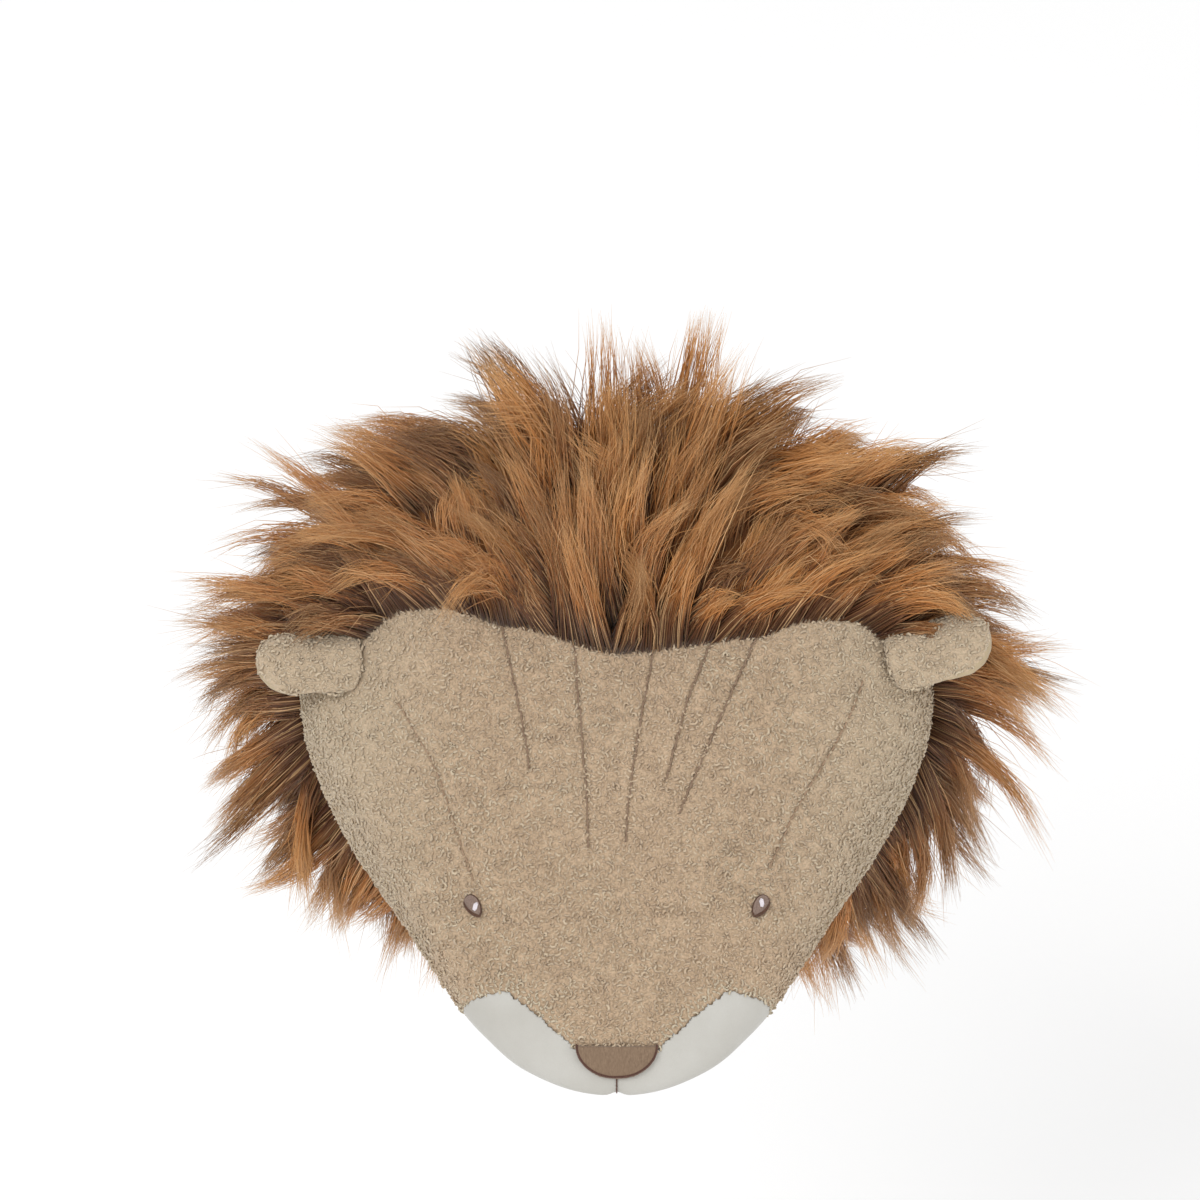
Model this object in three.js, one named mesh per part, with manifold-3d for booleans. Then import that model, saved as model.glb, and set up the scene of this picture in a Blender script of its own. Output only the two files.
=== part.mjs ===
// A soft lion head to hang on a wall: a stuffed face with a smooth muzzle, a nose, two stitched eyes, two lined
// ears and a long fur mane, on a round back panel. Millimetres, +Z up. The face looks along -Y, and the panel's
// back lies against the wall at Y = 0, with its centre at the origin.
import * as THREE from "three";
import { mergeVertices } from "three/addons/utils/BufferGeometryUtils.js";
import Module from "manifold-3d";

const wasm = await Module();
wasm.setup();

// The stuffed head
const headDepth = 234; // wall to the foremost point of the muzzle
const headWidth = 270; // across the cheeks
const headHeight = 236; // crown of the stuffing to its underside
const seamGap = 0.3; // between two sewn pieces

// The back panel
const panelRadius = 100;
const panelThickness = 8;
const panelEdge = 1.5; // bevel of its rim

// The hairline, as shares of headDepth from the wall
const hairlineSide = 0.312;
const hairlineCrown = 0.427;
const hairlineSpread = 46; // degrees each way from the crown over which it comes forward

// The nose and eyes, stitched on
const noseWidth = 35;
const noseHeight = 13.5;
const noseThickness = 2.6;
const eyeApart = 0.444; // a share of headWidth
const eyeForward = 0.769; // a share of headDepth
const eyeWidth = 6.7;
const eyeHeight = 10.5;
const eyeThickness = 1.6;
const eyeTurn = 48; // degrees that the outer corner is turned up

// The muzzle panel and the strip of face fabric that runs over it to the nose
const muzzleDepth = 28; // how far its side seam lies behind the foremost point
const muzzleTilt = 22; // degrees that its seam leans back towards the chin
const bridgeWideEnd = 88;
const bridgeLength = 19;
const bridgeThickness = 12;
const padLift = 1.6; // how far the two cheek pads of the muzzle swell out
const padGroove = 1.6; // depth of the centre seam between them
const padGrooveWidth = 3;

// The ears
const earReach = 40;
const earBreadth = 33;
const earThickness = 12;
const earCurl = 6; // how far the front and back edges curl down
const earRoot = 6; // how far its round inner end lies the other way, half sunk in the cheek
const earApart = 0.867; // between the two roots, a share of headWidth
const earShift = 0.0117; // how far the pair sits towards the right, a share of headWidth
const earForward = 0.385; // a share of headDepth
const earHeight = 0.247; // above the origin, a share of headHeight
const earDroop = 16; // degrees that the front edge hangs
const earLift = { left: -5, right: 6 }; // degrees that each tip points up
const earSweep = { left: -6, right: 8 }; // degrees that each tip points back to the wall
const earClearance = 0.7; // between the ear and the fur behind it
const liningThickness = 2.4;
const liningInset = 5;

// The mane
const furBeside = 62; // how far the longest tips stand out past the cheeks
const furAbove = 69; // the same past the crown and the underside, as a mean of the two
const maneSquare = 2.35; // a superellipse's power, 2 for a plain ellipse
const maneClearance = 3; // between the hindmost fur and the wall
const furTuck = 5; // how far the fur's mass runs in under the face fabric
const rimFront = 42; // the thickest ring of the mass, from the wall
const rimBack = 20;
const rimTaper = 22; // how much narrower the mass is at the back panel
const lockStandOut = 40; // how far the rim's locks stand out of the mass of fur
const lockSag = 18; // how far a level lock hangs down at its tip
const lockSway = 9; // how far a lock's tip may lie to either side
const partingDepth = 22; // of the valley where the fur parts over the forehead
const partingSpread = 9; // degrees each way from the crown
const partingSway = 12; // how far the locks beside it lie away to their own side
const lockSides = 5;
const lockSlivers = 0.9; // facets smaller than this are merged where locks meet

const degrees = Math.PI / 180;
const fullTurn = Math.PI * 2;

// Each row is a section across the head. at is its share of headDepth, wide of half headWidth, and mid, top and low
// are shares of headHeight: its widest level, its crown and its underside. square is the power of its lower arc.
const backFace = panelThickness + seamGap;
const upperSquare = 2.4;
const sections = [
  { at: backFace / headDepth, wide: 0.832, mid: 0.021, top: 0.455, low: -0.459, square: 2.1 },
  { at: 0.13, wide: 0.933, mid: 0.051, top: 0.445, low: -0.477, square: 2.1 },
  { at: 0.25, wide: 0.998, mid: 0.077, top: 0.398, low: -0.487, square: 2.1 },
  { at: 0.375, wide: 0.987, mid: 0.087, top: 0.318, low: -0.48, square: 2.0 },
  { at: 0.5, wide: 0.894, mid: 0.049, top: 0.233, low: -0.467, square: 1.95 },
  { at: 0.625, wide: 0.757, mid: -0.03, top: 0.136, low: -0.435, square: 1.85 },
  { at: 0.745, wide: 0.62, mid: -0.112, top: 0.034, low: -0.388, square: 1.8 },
  { at: 0.84, wide: 0.5, mid: -0.185, top: -0.055, low: -0.338, square: 1.8 },
  { at: 0.912, wide: 0.38, mid: -0.22, top: -0.127, low: -0.304, square: 1.9 },
  { at: 0.965, wide: 0.25, mid: -0.236, top: -0.186, low: -0.283, square: 2.0 },
  { at: 0.993, wide: 0.13, mid: -0.248, top: -0.23, low: -0.268, square: 2.0 },
  { at: 1.0, wide: 0.0, mid: -0.252, top: -0.252, low: -0.252, square: 2.0 },
];
const tracks = [
  sections.map((s) => new THREE.Vector3(s.at, s.wide, s.mid)),
  sections.map((s) => new THREE.Vector3(s.top, s.low, s.square)),
].map((points) => new THREE.CatmullRomCurve3(points, false, "catmullrom", 0.5));

const smooth = (value, low, high) => THREE.MathUtils.smoothstep(value, low, high);
const bump = (distance, spread) => Math.exp(-((distance / spread) ** 2));

// Bulges of the stuffing: a lobe in front of each ear, and the two pads of the muzzle with the seam between them.
const lobes = [
  { across: -0.304, forward: 0.342, lift: 8, spread: 30 },
  { across: 0.333, forward: 0.342, lift: 5.5, spread: 32 },
];

function bulgeAt(point) {
  const fromWall = -point.y;
  let lift = 0;
  for (const lobe of lobes) {
    const away = Math.hypot(point.x - lobe.across * headWidth, fromWall - lobe.forward * headDepth);
    if (point.z > 0) lift += lobe.lift * bump(away, lobe.spread);
  }
  const onMuzzle = smooth(fromWall, headDepth - muzzleDepth, headDepth - muzzleDepth * 0.5);
  const belowNose = 1 - smooth(point.z, -0.27 * headHeight, -0.2 * headHeight);
  lift += padLift * onMuzzle * belowNose;
  lift -= padGroove * onMuzzle * belowNose * bump(point.x, padGrooveWidth);
  return lift;
}

function signedPower(value, power) {
  return Math.sign(value) * Math.abs(value) ** power;
}

function plainHeadPoint(along, angle) {
  const [spine, heights] = tracks.map((track) => track.getPoint(Math.min(1, Math.max(0, along))));
  const power = 2 / (Math.sin(angle) > 0 ? upperSquare : heights.z);
  const across = signedPower(Math.cos(angle), power) * Math.max(0, spine.y) * headWidth * 0.5;
  const edge = Math.sin(angle) > 0 ? heights.x - spine.z : spine.z - heights.y;
  const level = spine.z + edge * signedPower(Math.sin(angle), power);
  return new THREE.Vector3(across, -spine.x * headDepth, level * headHeight);
}

// The outward normal of the plain form, from two short chords.
function headNormal(along, angle) {
  const step = 0.004;
  const ahead = plainHeadPoint(Math.min(1, along + step), angle);
  const behind = plainHeadPoint(Math.max(0, along - step), angle);
  const left = plainHeadPoint(along, angle + step);
  const right = plainHeadPoint(along, angle - step);
  const normal = left.sub(right).cross(ahead.sub(behind));
  if (normal.lengthSq() < 1e-9) return new THREE.Vector3(0, -1, 0);
  normal.normalize();
  return normal;
}

function headPoint(along, angle, swell) {
  const point = plainHeadPoint(along, angle);
  const normal = along > 0.995 ? new THREE.Vector3(0, -1, 0) : headNormal(along, angle);
  if (along < 0.02) normal.setY(0).normalize();
  const lift = swell + bulgeAt(point);
  return point.addScaledVector(normal, lift);
}

// Closes a stack of rings of points into one body. A ring of one point is a pole.
function skin(rings) {
  const positions = rings.flat().flatMap((p) => [p.x, p.y, p.z]);
  const starts = rings.map((_, i) => rings.slice(0, i).reduce((sum, ring) => sum + ring.length, 0));
  const faces = [];
  for (let i = 0; i + 1 < rings.length; i++) {
    const [a, b] = [starts[i], starts[i + 1]];
    const [sizeA, sizeB] = [rings[i].length, rings[i + 1].length];
    const size = Math.max(sizeA, sizeB);
    for (let j = 0; j < size; j++) {
      const k = (j + 1) % size;
      if (sizeA > 1) faces.push(a + j, a + k, b + (sizeB > 1 ? k : 0));
      if (sizeB > 1) faces.push(a + (sizeA > 1 ? j : 0), b + k, b + j);
    }
  }
  const geometry = new THREE.BufferGeometry();
  geometry.setAttribute("position", new THREE.Float32BufferAttribute(positions, 3));
  geometry.setIndex(faces);
  return geometry;
}

// A ring's centre as a pole, so that an open end is closed by a flat fan.
function centreOf(ring) {
  const sum = ring.reduce((total, p) => total.add(p), new THREE.Vector3());
  return [sum.multiplyScalar(1 / ring.length)];
}

// A closed geometry as a solid, whichever way its faces were wound.
function solid(geometry) {
  const bare = geometry.clone();
  for (const name of Object.keys(bare.attributes)) {
    if (name !== "position") bare.deleteAttribute(name);
  }
  const merged = mergeVertices(bare, 1e-4);
  const triVerts = new Uint32Array(merged.index.array);
  const vertProperties = new Float32Array(merged.attributes.position.array);
  const made = new wasm.Manifold(new wasm.Mesh({ numProp: 3, vertProperties, triVerts }));
  if (made.volume() > 0) return made;
  for (let i = 0; i < triVerts.length; i += 3) {
    [triVerts[i + 1], triVerts[i + 2]] = [triVerts[i + 2], triVerts[i + 1]];
  }
  return new wasm.Manifold(new wasm.Mesh({ numProp: 3, vertProperties, triVerts }));
}

// A solid as a named mesh in its own colour, with slivers merged away.
const slivers = 0.06;

function piece(name, body, colour, roughness) {
  const tidy = body.simplify(slivers).getMesh();
  const geometry = new THREE.BufferGeometry();
  geometry.setAttribute("position", new THREE.BufferAttribute(new Float32Array(tidy.vertProperties), 3));
  geometry.setIndex(new THREE.BufferAttribute(new Uint32Array(tidy.triVerts), 1));
  geometry.computeVertexNormals();
  const mesh = new THREE.Mesh(geometry, new THREE.MeshStandardMaterial({ color: colour, roughness, metalness: 0 }));
  mesh.name = name;
  return mesh;
}

function headForm(swell) {
  const ringCount = 24;
  const ringPoints = 40;
  const rings = [];
  for (let i = 0; i < ringCount; i++) {
    const along = i / ringCount;
    rings.push(Array.from({ length: ringPoints }, (_, j) => headPoint(along, (fullTurn * j) / ringPoints, swell)));
  }
  rings.unshift(centreOf(rings[0]));
  rings.push([headPoint(1, 0, swell)]);
  return solid(skin(rings));
}

// How far from the wall the fur meets the face, by the angle seen from the front.
function hairlineAt(angle) {
  const fromCrown = Math.abs(((angle / degrees - 90 + 540) % 360) - 180);
  return headDepth * (hairlineSide + (hairlineCrown - hairlineSide) * bump(fromCrown, hairlineSpread));
}

// Everything behind the hairline, moved towards the wall by back.
function behindHairline(back) {
  const steps = 60;
  const far = headWidth * 1.5;
  const axisHeight = 0.08 * headHeight;
  const ringAt = (fromWall) =>
    Array.from({ length: steps }, (_, j) => {
      const angle = (fullTurn * j) / steps;
      return new THREE.Vector3(far * Math.cos(angle), -fromWall(angle), axisHeight + far * Math.sin(angle));
    });
  const front = ringAt((angle) => hairlineAt(angle) - back);
  const rear = ringAt(() => -far);
  const apex = [new THREE.Vector3(0, -(hairlineSide * headDepth + furTuck - back), axisHeight)];
  return solid(skin([apex, front, rear, centreOf(rear)]));
}

// The region of the white muzzle, set forward by gap, without the bridge strip grown by gap.
function muzzleRegion(gap) {
  const far = headWidth;
  const start = headDepth - muzzleDepth;
  const front = new THREE.BoxGeometry(far, far, far).translate(0, -far / 2, 0);
  front.rotateX(muzzleTilt * degrees);
  front.translate(0, -(start + gap), -0.125 * headHeight);
  const strip = new THREE.Shape();
  strip.moveTo(-bridgeWideEnd / 2 - gap, 0);
  strip.lineTo(-bridgeWideEnd / 2 - gap, start + 1);
  strip.lineTo(-noseWidth / 2 - gap, start + bridgeLength + gap);
  strip.lineTo(noseWidth / 2 + gap, start + bridgeLength + gap);
  strip.lineTo(bridgeWideEnd / 2 + gap, start + 1);
  strip.lineTo(bridgeWideEnd / 2 + gap, 0);
  const noseTop = surfaceOver(0, start + bridgeLength).z;
  const bridge = new THREE.ExtrudeGeometry(strip, { depth: far, bevelEnabled: false });
  bridge.rotateX(Math.PI);
  bridge.translate(0, 0, far + noseTop - bridgeThickness - gap);
  return solid(front).subtract(solid(bridge));
}

// The point of the head's upper surface over a place given from above, with its outward normal.
const headMesh = (() => {
  const form = headForm(0).getMesh();
  const geometry = new THREE.BufferGeometry();
  geometry.setAttribute("position", new THREE.BufferAttribute(new Float32Array(form.vertProperties), 3));
  geometry.setIndex(new THREE.BufferAttribute(new Uint32Array(form.triVerts), 1));
  return new THREE.Mesh(geometry, new THREE.MeshBasicMaterial({ side: THREE.DoubleSide }));
})();

function surfaceOver(x, fromWall) {
  const from = new THREE.Vector3(x, -fromWall, headHeight);
  const hit = new THREE.Raycaster(from, new THREE.Vector3(0, 0, -1)).intersectObject(headMesh)[0];
  return Object.assign(hit.point.clone(), { normal: hit.face.normal.clone() });
}

// A pad that lies on the head within an outline drawn on the plane across normal, with up towards the crown.
function patch(outline, place, normal, turn, thickness) {
  const reach = 14;
  const post = new THREE.ExtrudeGeometry(outline, { depth: 2 * reach, bevelEnabled: false, curveSegments: 7 });
  post.translate(0, 0, -reach);
  const right = new THREE.Vector3(0, 0, 1).cross(normal).normalize();
  const up = normal.clone().cross(right);
  const facing = new THREE.Matrix4().makeBasis(right, up, normal);
  post.rotateZ(turn).applyMatrix4(facing).translate(place.x, place.y, place.z);
  return solid(post).intersect(headForm(thickness)).subtract(headForm(seamGap));
}

function nose() {
  const outline = new THREE.Shape();
  outline.moveTo(-noseWidth / 2, 0);
  outline.lineTo(noseWidth / 2, 0);
  outline.absellipse(0, 0, noseWidth / 2, noseHeight, 0, -Math.PI, true);
  const top = surfaceOver(0, headDepth - muzzleDepth + bridgeLength);
  const normal = new THREE.Vector3(0, -Math.cos(23 * degrees), Math.sin(23 * degrees));
  return patch(outline, top, normal, 0, noseThickness);
}

// An almond with its round end up and outwards. side is -1 on the left as seen from the front, and 1 on the right.
function eye(side) {
  const outline = new THREE.Shape();
  outline.moveTo(0, -eyeHeight / 2);
  outline.bezierCurveTo(eyeWidth * 0.62, -eyeHeight * 0.2, eyeWidth * 0.62, eyeHeight / 2, 0, eyeHeight / 2);
  outline.bezierCurveTo(-eyeWidth * 0.62, eyeHeight / 2, -eyeWidth * 0.62, -eyeHeight * 0.2, 0, -eyeHeight / 2);
  const place = surfaceOver((side * eyeApart * headWidth) / 2, eyeForward * headDepth);
  return patch(outline, place, place.normal, -side * eyeTurn * degrees, eyeThickness);
}

// A point of the ear in its own frame: x outwards from the root, y to the front, z up.
function earSection(reach) {
  const share = reach < 0 ? (-reach / earRoot) * earRootRound : reach / earReach;
  const narrowing = Math.sqrt(Math.max(0, 1 - share ** 2.4));
  return { breadth: (earBreadth / 2) * narrowing, thickness: (earThickness / 2) * Math.sqrt(narrowing) };
}

function earUnderside(reach, forward) {
  const { breadth, thickness } = earSection(reach);
  const share = Math.min(1, Math.abs(forward) / Math.max(breadth, 0.01));
  return -thickness * Math.sqrt(1 - share ** 2) - earCurl * (forward / (earBreadth / 2)) ** 2;
}

const earSteps = 6;
const earRingPoints = 12;
const earRootRings = [1, 0.6];
const earRootRound = 0.9; // how nearly the inner end closes, 1 for a point

function earRings(grow) {
  const reaches = earRootRings.map((share) => -earRoot * share);
  for (let i = 0; i < earSteps; i++) reaches.push(earReach * Math.sin((i / earSteps) * Math.PI * 0.5));
  const rings = reaches.map((reach) => {
    const { breadth, thickness } = earSection(reach);
    return Array.from({ length: earRingPoints }, (_, j) => {
      const angle = (fullTurn * j) / earRingPoints;
      const forward = (breadth + grow) * Math.cos(angle);
      const curl = earCurl * (forward / (earBreadth / 2)) ** 2;
      return new THREE.Vector3(reach, forward, (thickness + grow) * Math.sin(angle) - curl);
    });
  });
  return [centreOf(rings[0]), ...rings, [new THREE.Vector3(earReach + grow, 0, 0)]];
}

function liningRings(grow) {
  const length = earReach - liningInset * 2;
  const rings = [];
  for (let i = 1; i < earSteps; i++) {
    const spot = Math.cos((i / earSteps) * Math.PI);
    const reach = liningInset + (length * (1 - spot)) / 2;
    const breadth = Math.max(0, earSection(reach).breadth - liningInset) * Math.sqrt(1 - spot ** 2 * 0.85);
    rings.push(
      Array.from({ length: earRingPoints }, (_, j) => {
        const angle = (fullTurn * j) / earRingPoints;
        const forward = (breadth + grow) * Math.cos(angle);
        const middle = earUnderside(reach, breadth * Math.cos(angle)) + liningThickness * 0.1;
        return new THREE.Vector3(reach, forward, middle + (liningThickness / 2 + grow) * Math.sin(angle));
      }),
    );
  }
  const pole = (reach) => [new THREE.Vector3(reach, 0, earUnderside(reach, 0))];
  return [pole(liningInset - grow), ...rings, pole(liningInset + length + grow)];
}

// Sets an ear's rings on the head: tipped, turned to its side and moved to its root.
function onHead(rings, side) {
  const name = side < 0 ? "left" : "right";
  const place = new THREE.Matrix4()
    .makeTranslation(headWidth * (side * earApart * 0.5 + earShift), -earForward * headDepth, earHeight * headHeight)
    .multiply(new THREE.Matrix4().makeScale(side, -1, 1))
    .multiply(new THREE.Matrix4().makeRotationZ(-earSweep[name] * degrees))
    .multiply(new THREE.Matrix4().makeRotationY(-earLift[name] * degrees))
    .multiply(new THREE.Matrix4().makeRotationX(-earDroop * degrees));
  return solid(skin(rings.map((ring) => ring.map((p) => p.clone().applyMatrix4(place)))));
}

// A repeatable scatter between -1 and 1.
function scatter(seed) {
  const value = Math.sin(seed * 127.1 + 11.7) * 43758.5453;
  return 2 * (value - Math.floor(value)) - 1;
}

// How far the fur reaches from the origin at an angle seen from the front.
function reachAt(angle) {
  const across = Math.abs(Math.cos(angle) / (headWidth / 2 + furBeside)) ** maneSquare;
  const upright = Math.abs(Math.sin(angle) / (headHeight / 2 + furAbove)) ** maneSquare;
  return (across + upright) ** (-1 / maneSquare);
}

// The head's own radius at an angle and a distance from the wall.
function headRadiusAt(angle, fromWall) {
  const along = alongAt(fromWall);
  let best = 0;
  let nearest = Infinity;
  for (let i = 0; i < 180; i++) {
    const point = headPoint(along, (fullTurn * i) / 180, 0);
    const off = Math.abs(((Math.atan2(point.z, point.x) - angle) / degrees + 900) % 360 - 180);
    if (off < nearest) [nearest, best] = [off, Math.hypot(point.x, point.z)];
  }
  return best;
}

function alongAt(fromWall) {
  let [low, high] = [0, 1];
  for (let i = 0; i < 30; i++) {
    const middle = (low + high) / 2;
    if (tracks[0].getPoint(middle).x * headDepth < fromWall) low = middle;
    else high = middle;
  }
  return (low + high) / 2;
}

// How near an angle is to the parting, from 0 to 1.
function partingAt(angle) {
  return bump(angle / degrees - 90, partingSpread);
}

// The mass of fur under the locks, as a line from the hairline out to the rim and in to the back panel.
function furProfile(angle) {
  const hairline = hairlineAt(angle);
  const atSeam = headRadiusAt(angle, hairline);
  const rim = reachAt(angle) - lockStandOut;
  const rise = rim - atSeam;
  const valley = partingDepth * partingAt(angle);
  return [
    { fromWall: hairline + furTuck, radius: atSeam * 0.9 },
    { fromWall: hairline + 0.2 * furTuck, radius: atSeam + 0.12 * rise },
    { fromWall: hairline - 1.4 * furTuck, radius: atSeam + 0.45 * rise - valley },
    { fromWall: hairline * 0.58 + rimFront * 0.34, radius: rim - 0.22 * rise - valley },
    { fromWall: rimFront, radius: rim - 0.85 * valley },
    { fromWall: rimBack, radius: rim - 0.27 * rimTaper - 0.4 * valley },
    { fromWall: backFace, radius: rim - rimTaper },
  ];
}

function maneMass() {
  const ringPoints = 32;
  const profiles = Array.from({ length: ringPoints }, (_, j) => {
    const angle = (fullTurn * j) / ringPoints;
    return furProfile(angle).map(
      ({ fromWall, radius }) => new THREE.Vector3(radius * Math.cos(angle), -fromWall, radius * Math.sin(angle)),
    );
  });
  const rings = profiles[0].map((_, i) => profiles.map((profile) => profile[i]));
  return solid(skin([centreOf(rings[0]), ...rings, centreOf(rings.at(-1))]));
}

// One pointed lock. It starts inside the mass of fur, bends down under its weight and closes at its tip.
function lock({ root, way, length, width, thickness, sag, twist, sway }) {
  const side = new THREE.Vector3(0, -1, 0).cross(way).normalize().applyAxisAngle(way, twist);
  const outward = way.clone().cross(side).normalize();
  const stations = [
    { share: 0, size: 0.95 },
    { share: 0.36, size: 1 },
    { share: 0.76, size: 0.52 },
  ];
  const pathPoint = (share) => {
    const point = root.clone().addScaledVector(way, length * share);
    point.addScaledVector(side, sway * share * share);
    point.z -= sag * share * share;
    point.y = Math.min(point.y, -maneClearance - thickness * 0.5 * (1 - share));
    return point;
  };
  const rings = stations.map(({ share, size }) =>
    Array.from({ length: lockSides }, (_, j) => {
      const angle = (fullTurn * j) / lockSides;
      const point = pathPoint(share);
      point.addScaledVector(side, (width / 2) * size * Math.cos(angle));
      point.addScaledVector(outward, (thickness / 2) * size * Math.sin(angle));
      point.y = Math.min(point.y, -maneClearance);
      return point;
    }),
  );
  return solid(skin([centreOf(rings[0]), ...rings, [pathPoint(1)]]));
}

// Rows of locks from the hairline to the rim. lean is how far a row points back to the wall, against outwards.
const lockRows = [
  { count: 20, station: 2, sink: 8, lean: 0.62, reach: 0.9, width: 34, thickness: 16, turn: 0.25 },
  { count: 22, station: 3, sink: 14, lean: 0.3, reach: 0.98, width: 36, thickness: 18, turn: 0.5 },
  { count: 25, station: 4, sink: 14, lean: 0.02, reach: 1, width: 35, thickness: 17, turn: 0 },
  { count: 21, station: 5, sink: 14, lean: -0.1, reach: 0.95, width: 36, thickness: 16, turn: 0.5 },
];

function lockAt(row, rowIndex, i) {
  const seed = rowIndex * 100 + i;
  const angle = (fullTurn * (i + row.turn + 0.22 * scatter(seed))) / row.count;
  const spot = furProfile(angle)[row.station];
  const outwards = new THREE.Vector3(Math.cos(angle), 0, Math.sin(angle));
  const way = outwards.clone().setY(row.lean + 0.07 * scatter(seed + 0.3)).normalize();
  const root = outwards.clone().multiplyScalar(spot.radius - row.sink).setY(-spot.fromWall);
  const beside = row.station < 4 ? partingAt(angle) : 0;
  const target = reachAt(angle) * row.reach * (1 - 0.045 * Math.abs(scatter(seed + 0.6))) - partingDepth * beside;
  const length = (target - spot.radius + row.sink) / Math.hypot(way.x, way.z);
  const sag = lockSag * Math.abs(Math.cos(angle)) * (row.station > 2 ? 1 : 0.5);
  const twist = 0.35 * scatter(seed + 0.9);
  const sway = lockSway * scatter(seed + 0.2) + partingSway * beside * Math.sign(angle - Math.PI / 2);
  return lock({ root, way, length, width: row.width, thickness: row.thickness, sag, twist, sway });
}

function mane() {
  const locks = lockRows.flatMap((row, r) => Array.from({ length: row.count }, (_, i) => lockAt(row, r, i)));
  return wasm.Manifold.union([maneMass(), ...locks]).simplify(lockSlivers);
}

function backPanel() {
  const half = new THREE.Shape();
  half.moveTo(0, 0);
  half.lineTo(panelRadius - panelEdge, 0);
  half.lineTo(panelRadius, panelEdge);
  half.lineTo(panelRadius, panelThickness - panelEdge);
  half.lineTo(panelRadius - panelEdge, panelThickness);
  half.lineTo(0, panelThickness);
  const turned = new THREE.LatheGeometry(half.getPoints(), 40);
  turned.rotateX(Math.PI);
  return solid(turned);
}

// The pieces, each cut by its neighbours with the seam's gap between them
const ears = [-1, 1].map((side) => {
  const lining = onHead(liningRings(0), side);
  const shell = onHead(earRings(0), side).subtract(onHead(liningRings(seamGap), side));
  return { lining, shell, room: onHead(earRings(earClearance), side) };
});
const wholeHead = headForm(0);
const face = wholeHead.subtract(behindHairline(0)).subtract(muzzleRegion(0));
const muzzle = wholeHead.intersect(muzzleRegion(seamGap));
const headRoom = headForm(seamGap).subtract(behindHairline(seamGap));
const furWithRoom = ears.reduce((fur, ear) => fur.subtract(ear.room), mane().subtract(headRoom));

const tan = 0xcbb591;
const taupe = 0x8f745c;
const lionHead = new THREE.Group();
lionHead.add(
  piece("face", face, tan, 0.95),
  piece("muzzle", muzzle, 0xe4e1da, 0.9),
  piece("mane", furWithRoom, 0x97683f, 0.85),
  piece("nose", nose(), taupe, 0.8),
  piece("eye_left", eye(-1), taupe, 0.6),
  piece("eye_right", eye(1), taupe, 0.6),
  piece("ear_left", ears[0].shell.subtract(headRoom), tan, 0.95),
  piece("ear_right", ears[1].shell.subtract(headRoom), tan, 0.95),
  piece("ear_lining_left", ears[0].lining.subtract(headRoom), 0xc2ae8d, 0.9),
  piece("ear_lining_right", ears[1].lining.subtract(headRoom), 0xc2ae8d, 0.9),
  piece("back_panel", backPanel(), 0xbca98a, 0.9),
);

export default lionHead;
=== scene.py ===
# A plush lion head for a wall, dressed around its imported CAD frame. Metres, +Z up, the face looks along -Y.
import math

import bmesh
import bpy
import numpy as np
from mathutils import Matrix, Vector
from mathutils.bvhtree import BVHTree


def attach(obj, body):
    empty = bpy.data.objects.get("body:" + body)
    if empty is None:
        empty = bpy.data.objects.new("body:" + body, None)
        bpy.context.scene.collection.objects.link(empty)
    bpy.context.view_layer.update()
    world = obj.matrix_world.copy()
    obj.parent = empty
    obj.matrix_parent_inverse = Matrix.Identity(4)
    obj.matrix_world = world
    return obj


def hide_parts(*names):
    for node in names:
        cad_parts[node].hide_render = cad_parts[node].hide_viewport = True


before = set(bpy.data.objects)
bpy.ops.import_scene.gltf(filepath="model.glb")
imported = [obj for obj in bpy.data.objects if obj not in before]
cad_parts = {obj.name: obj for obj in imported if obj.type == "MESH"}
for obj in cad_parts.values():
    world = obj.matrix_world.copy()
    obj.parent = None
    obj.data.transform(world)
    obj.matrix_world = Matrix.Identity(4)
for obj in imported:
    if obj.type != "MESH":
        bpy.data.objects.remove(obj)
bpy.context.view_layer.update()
scene = bpy.context.scene
mm = 0.001
print("frame loaded:", len(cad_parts), "nodes")

# The camera looks down on the forehead, as the photograph does
viewSettings = {
    "elevation": 40.0,  # degrees above the horizon
    "distance": 3.0,
    "metresPerPixel": 0.00044,  # at the origin
    "frameWidth": 1200,
    "originAt": (616, 620),  # pixel of the back panel's centre
    "sensor": 36.0,
    "farthest": 50,
}


def placeCamera():
    tilt = math.radians(viewSettings["elevation"])
    back = Vector((0, -math.cos(tilt), math.sin(tilt)))
    up = Vector((0, math.sin(tilt), math.cos(tilt)))
    half = viewSettings["frameWidth"] / 2
    step = viewSettings["metresPerPixel"]
    aside = (viewSettings["originAt"][0] - half) * step
    below = (viewSettings["originAt"][1] - half) * step
    data = bpy.data.cameras.new("camera")
    data.sensor_width = viewSettings["sensor"]
    data.lens = viewSettings["sensor"] * viewSettings["distance"] / (viewSettings["frameWidth"] * step)
    data.clip_end = viewSettings["farthest"]
    camera = bpy.data.objects.new("camera", data)
    camera.location = Vector((-aside, 0, 0)) + up * below + back * viewSettings["distance"]
    camera.rotation_euler = (math.pi / 2 - tilt, 0, 0)
    scene.collection.objects.link(camera)
    scene.camera = camera


lightSettings = {
    "world": 0.86,
    "keyPlace": (-1.5, -2.0, 2.9),
    "keySize": 1.6,
    "keyPower": 50,
    "fillPlace": (2.2, -2.4, 0.9),
    "fillSize": 2.0,
    "fillPower": 18,
    "floorLevel": -0.62,
}


def lampAt(name, place, size, power):
    data = bpy.data.lights.new(name, "AREA")
    data.size = size
    data.energy = power
    lamp = bpy.data.objects.new(name, data)
    lamp.location = place
    lamp.rotation_euler = (-Vector(place)).to_track_quat("-Z", "Y").to_euler()
    scene.collection.objects.link(lamp)


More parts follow.
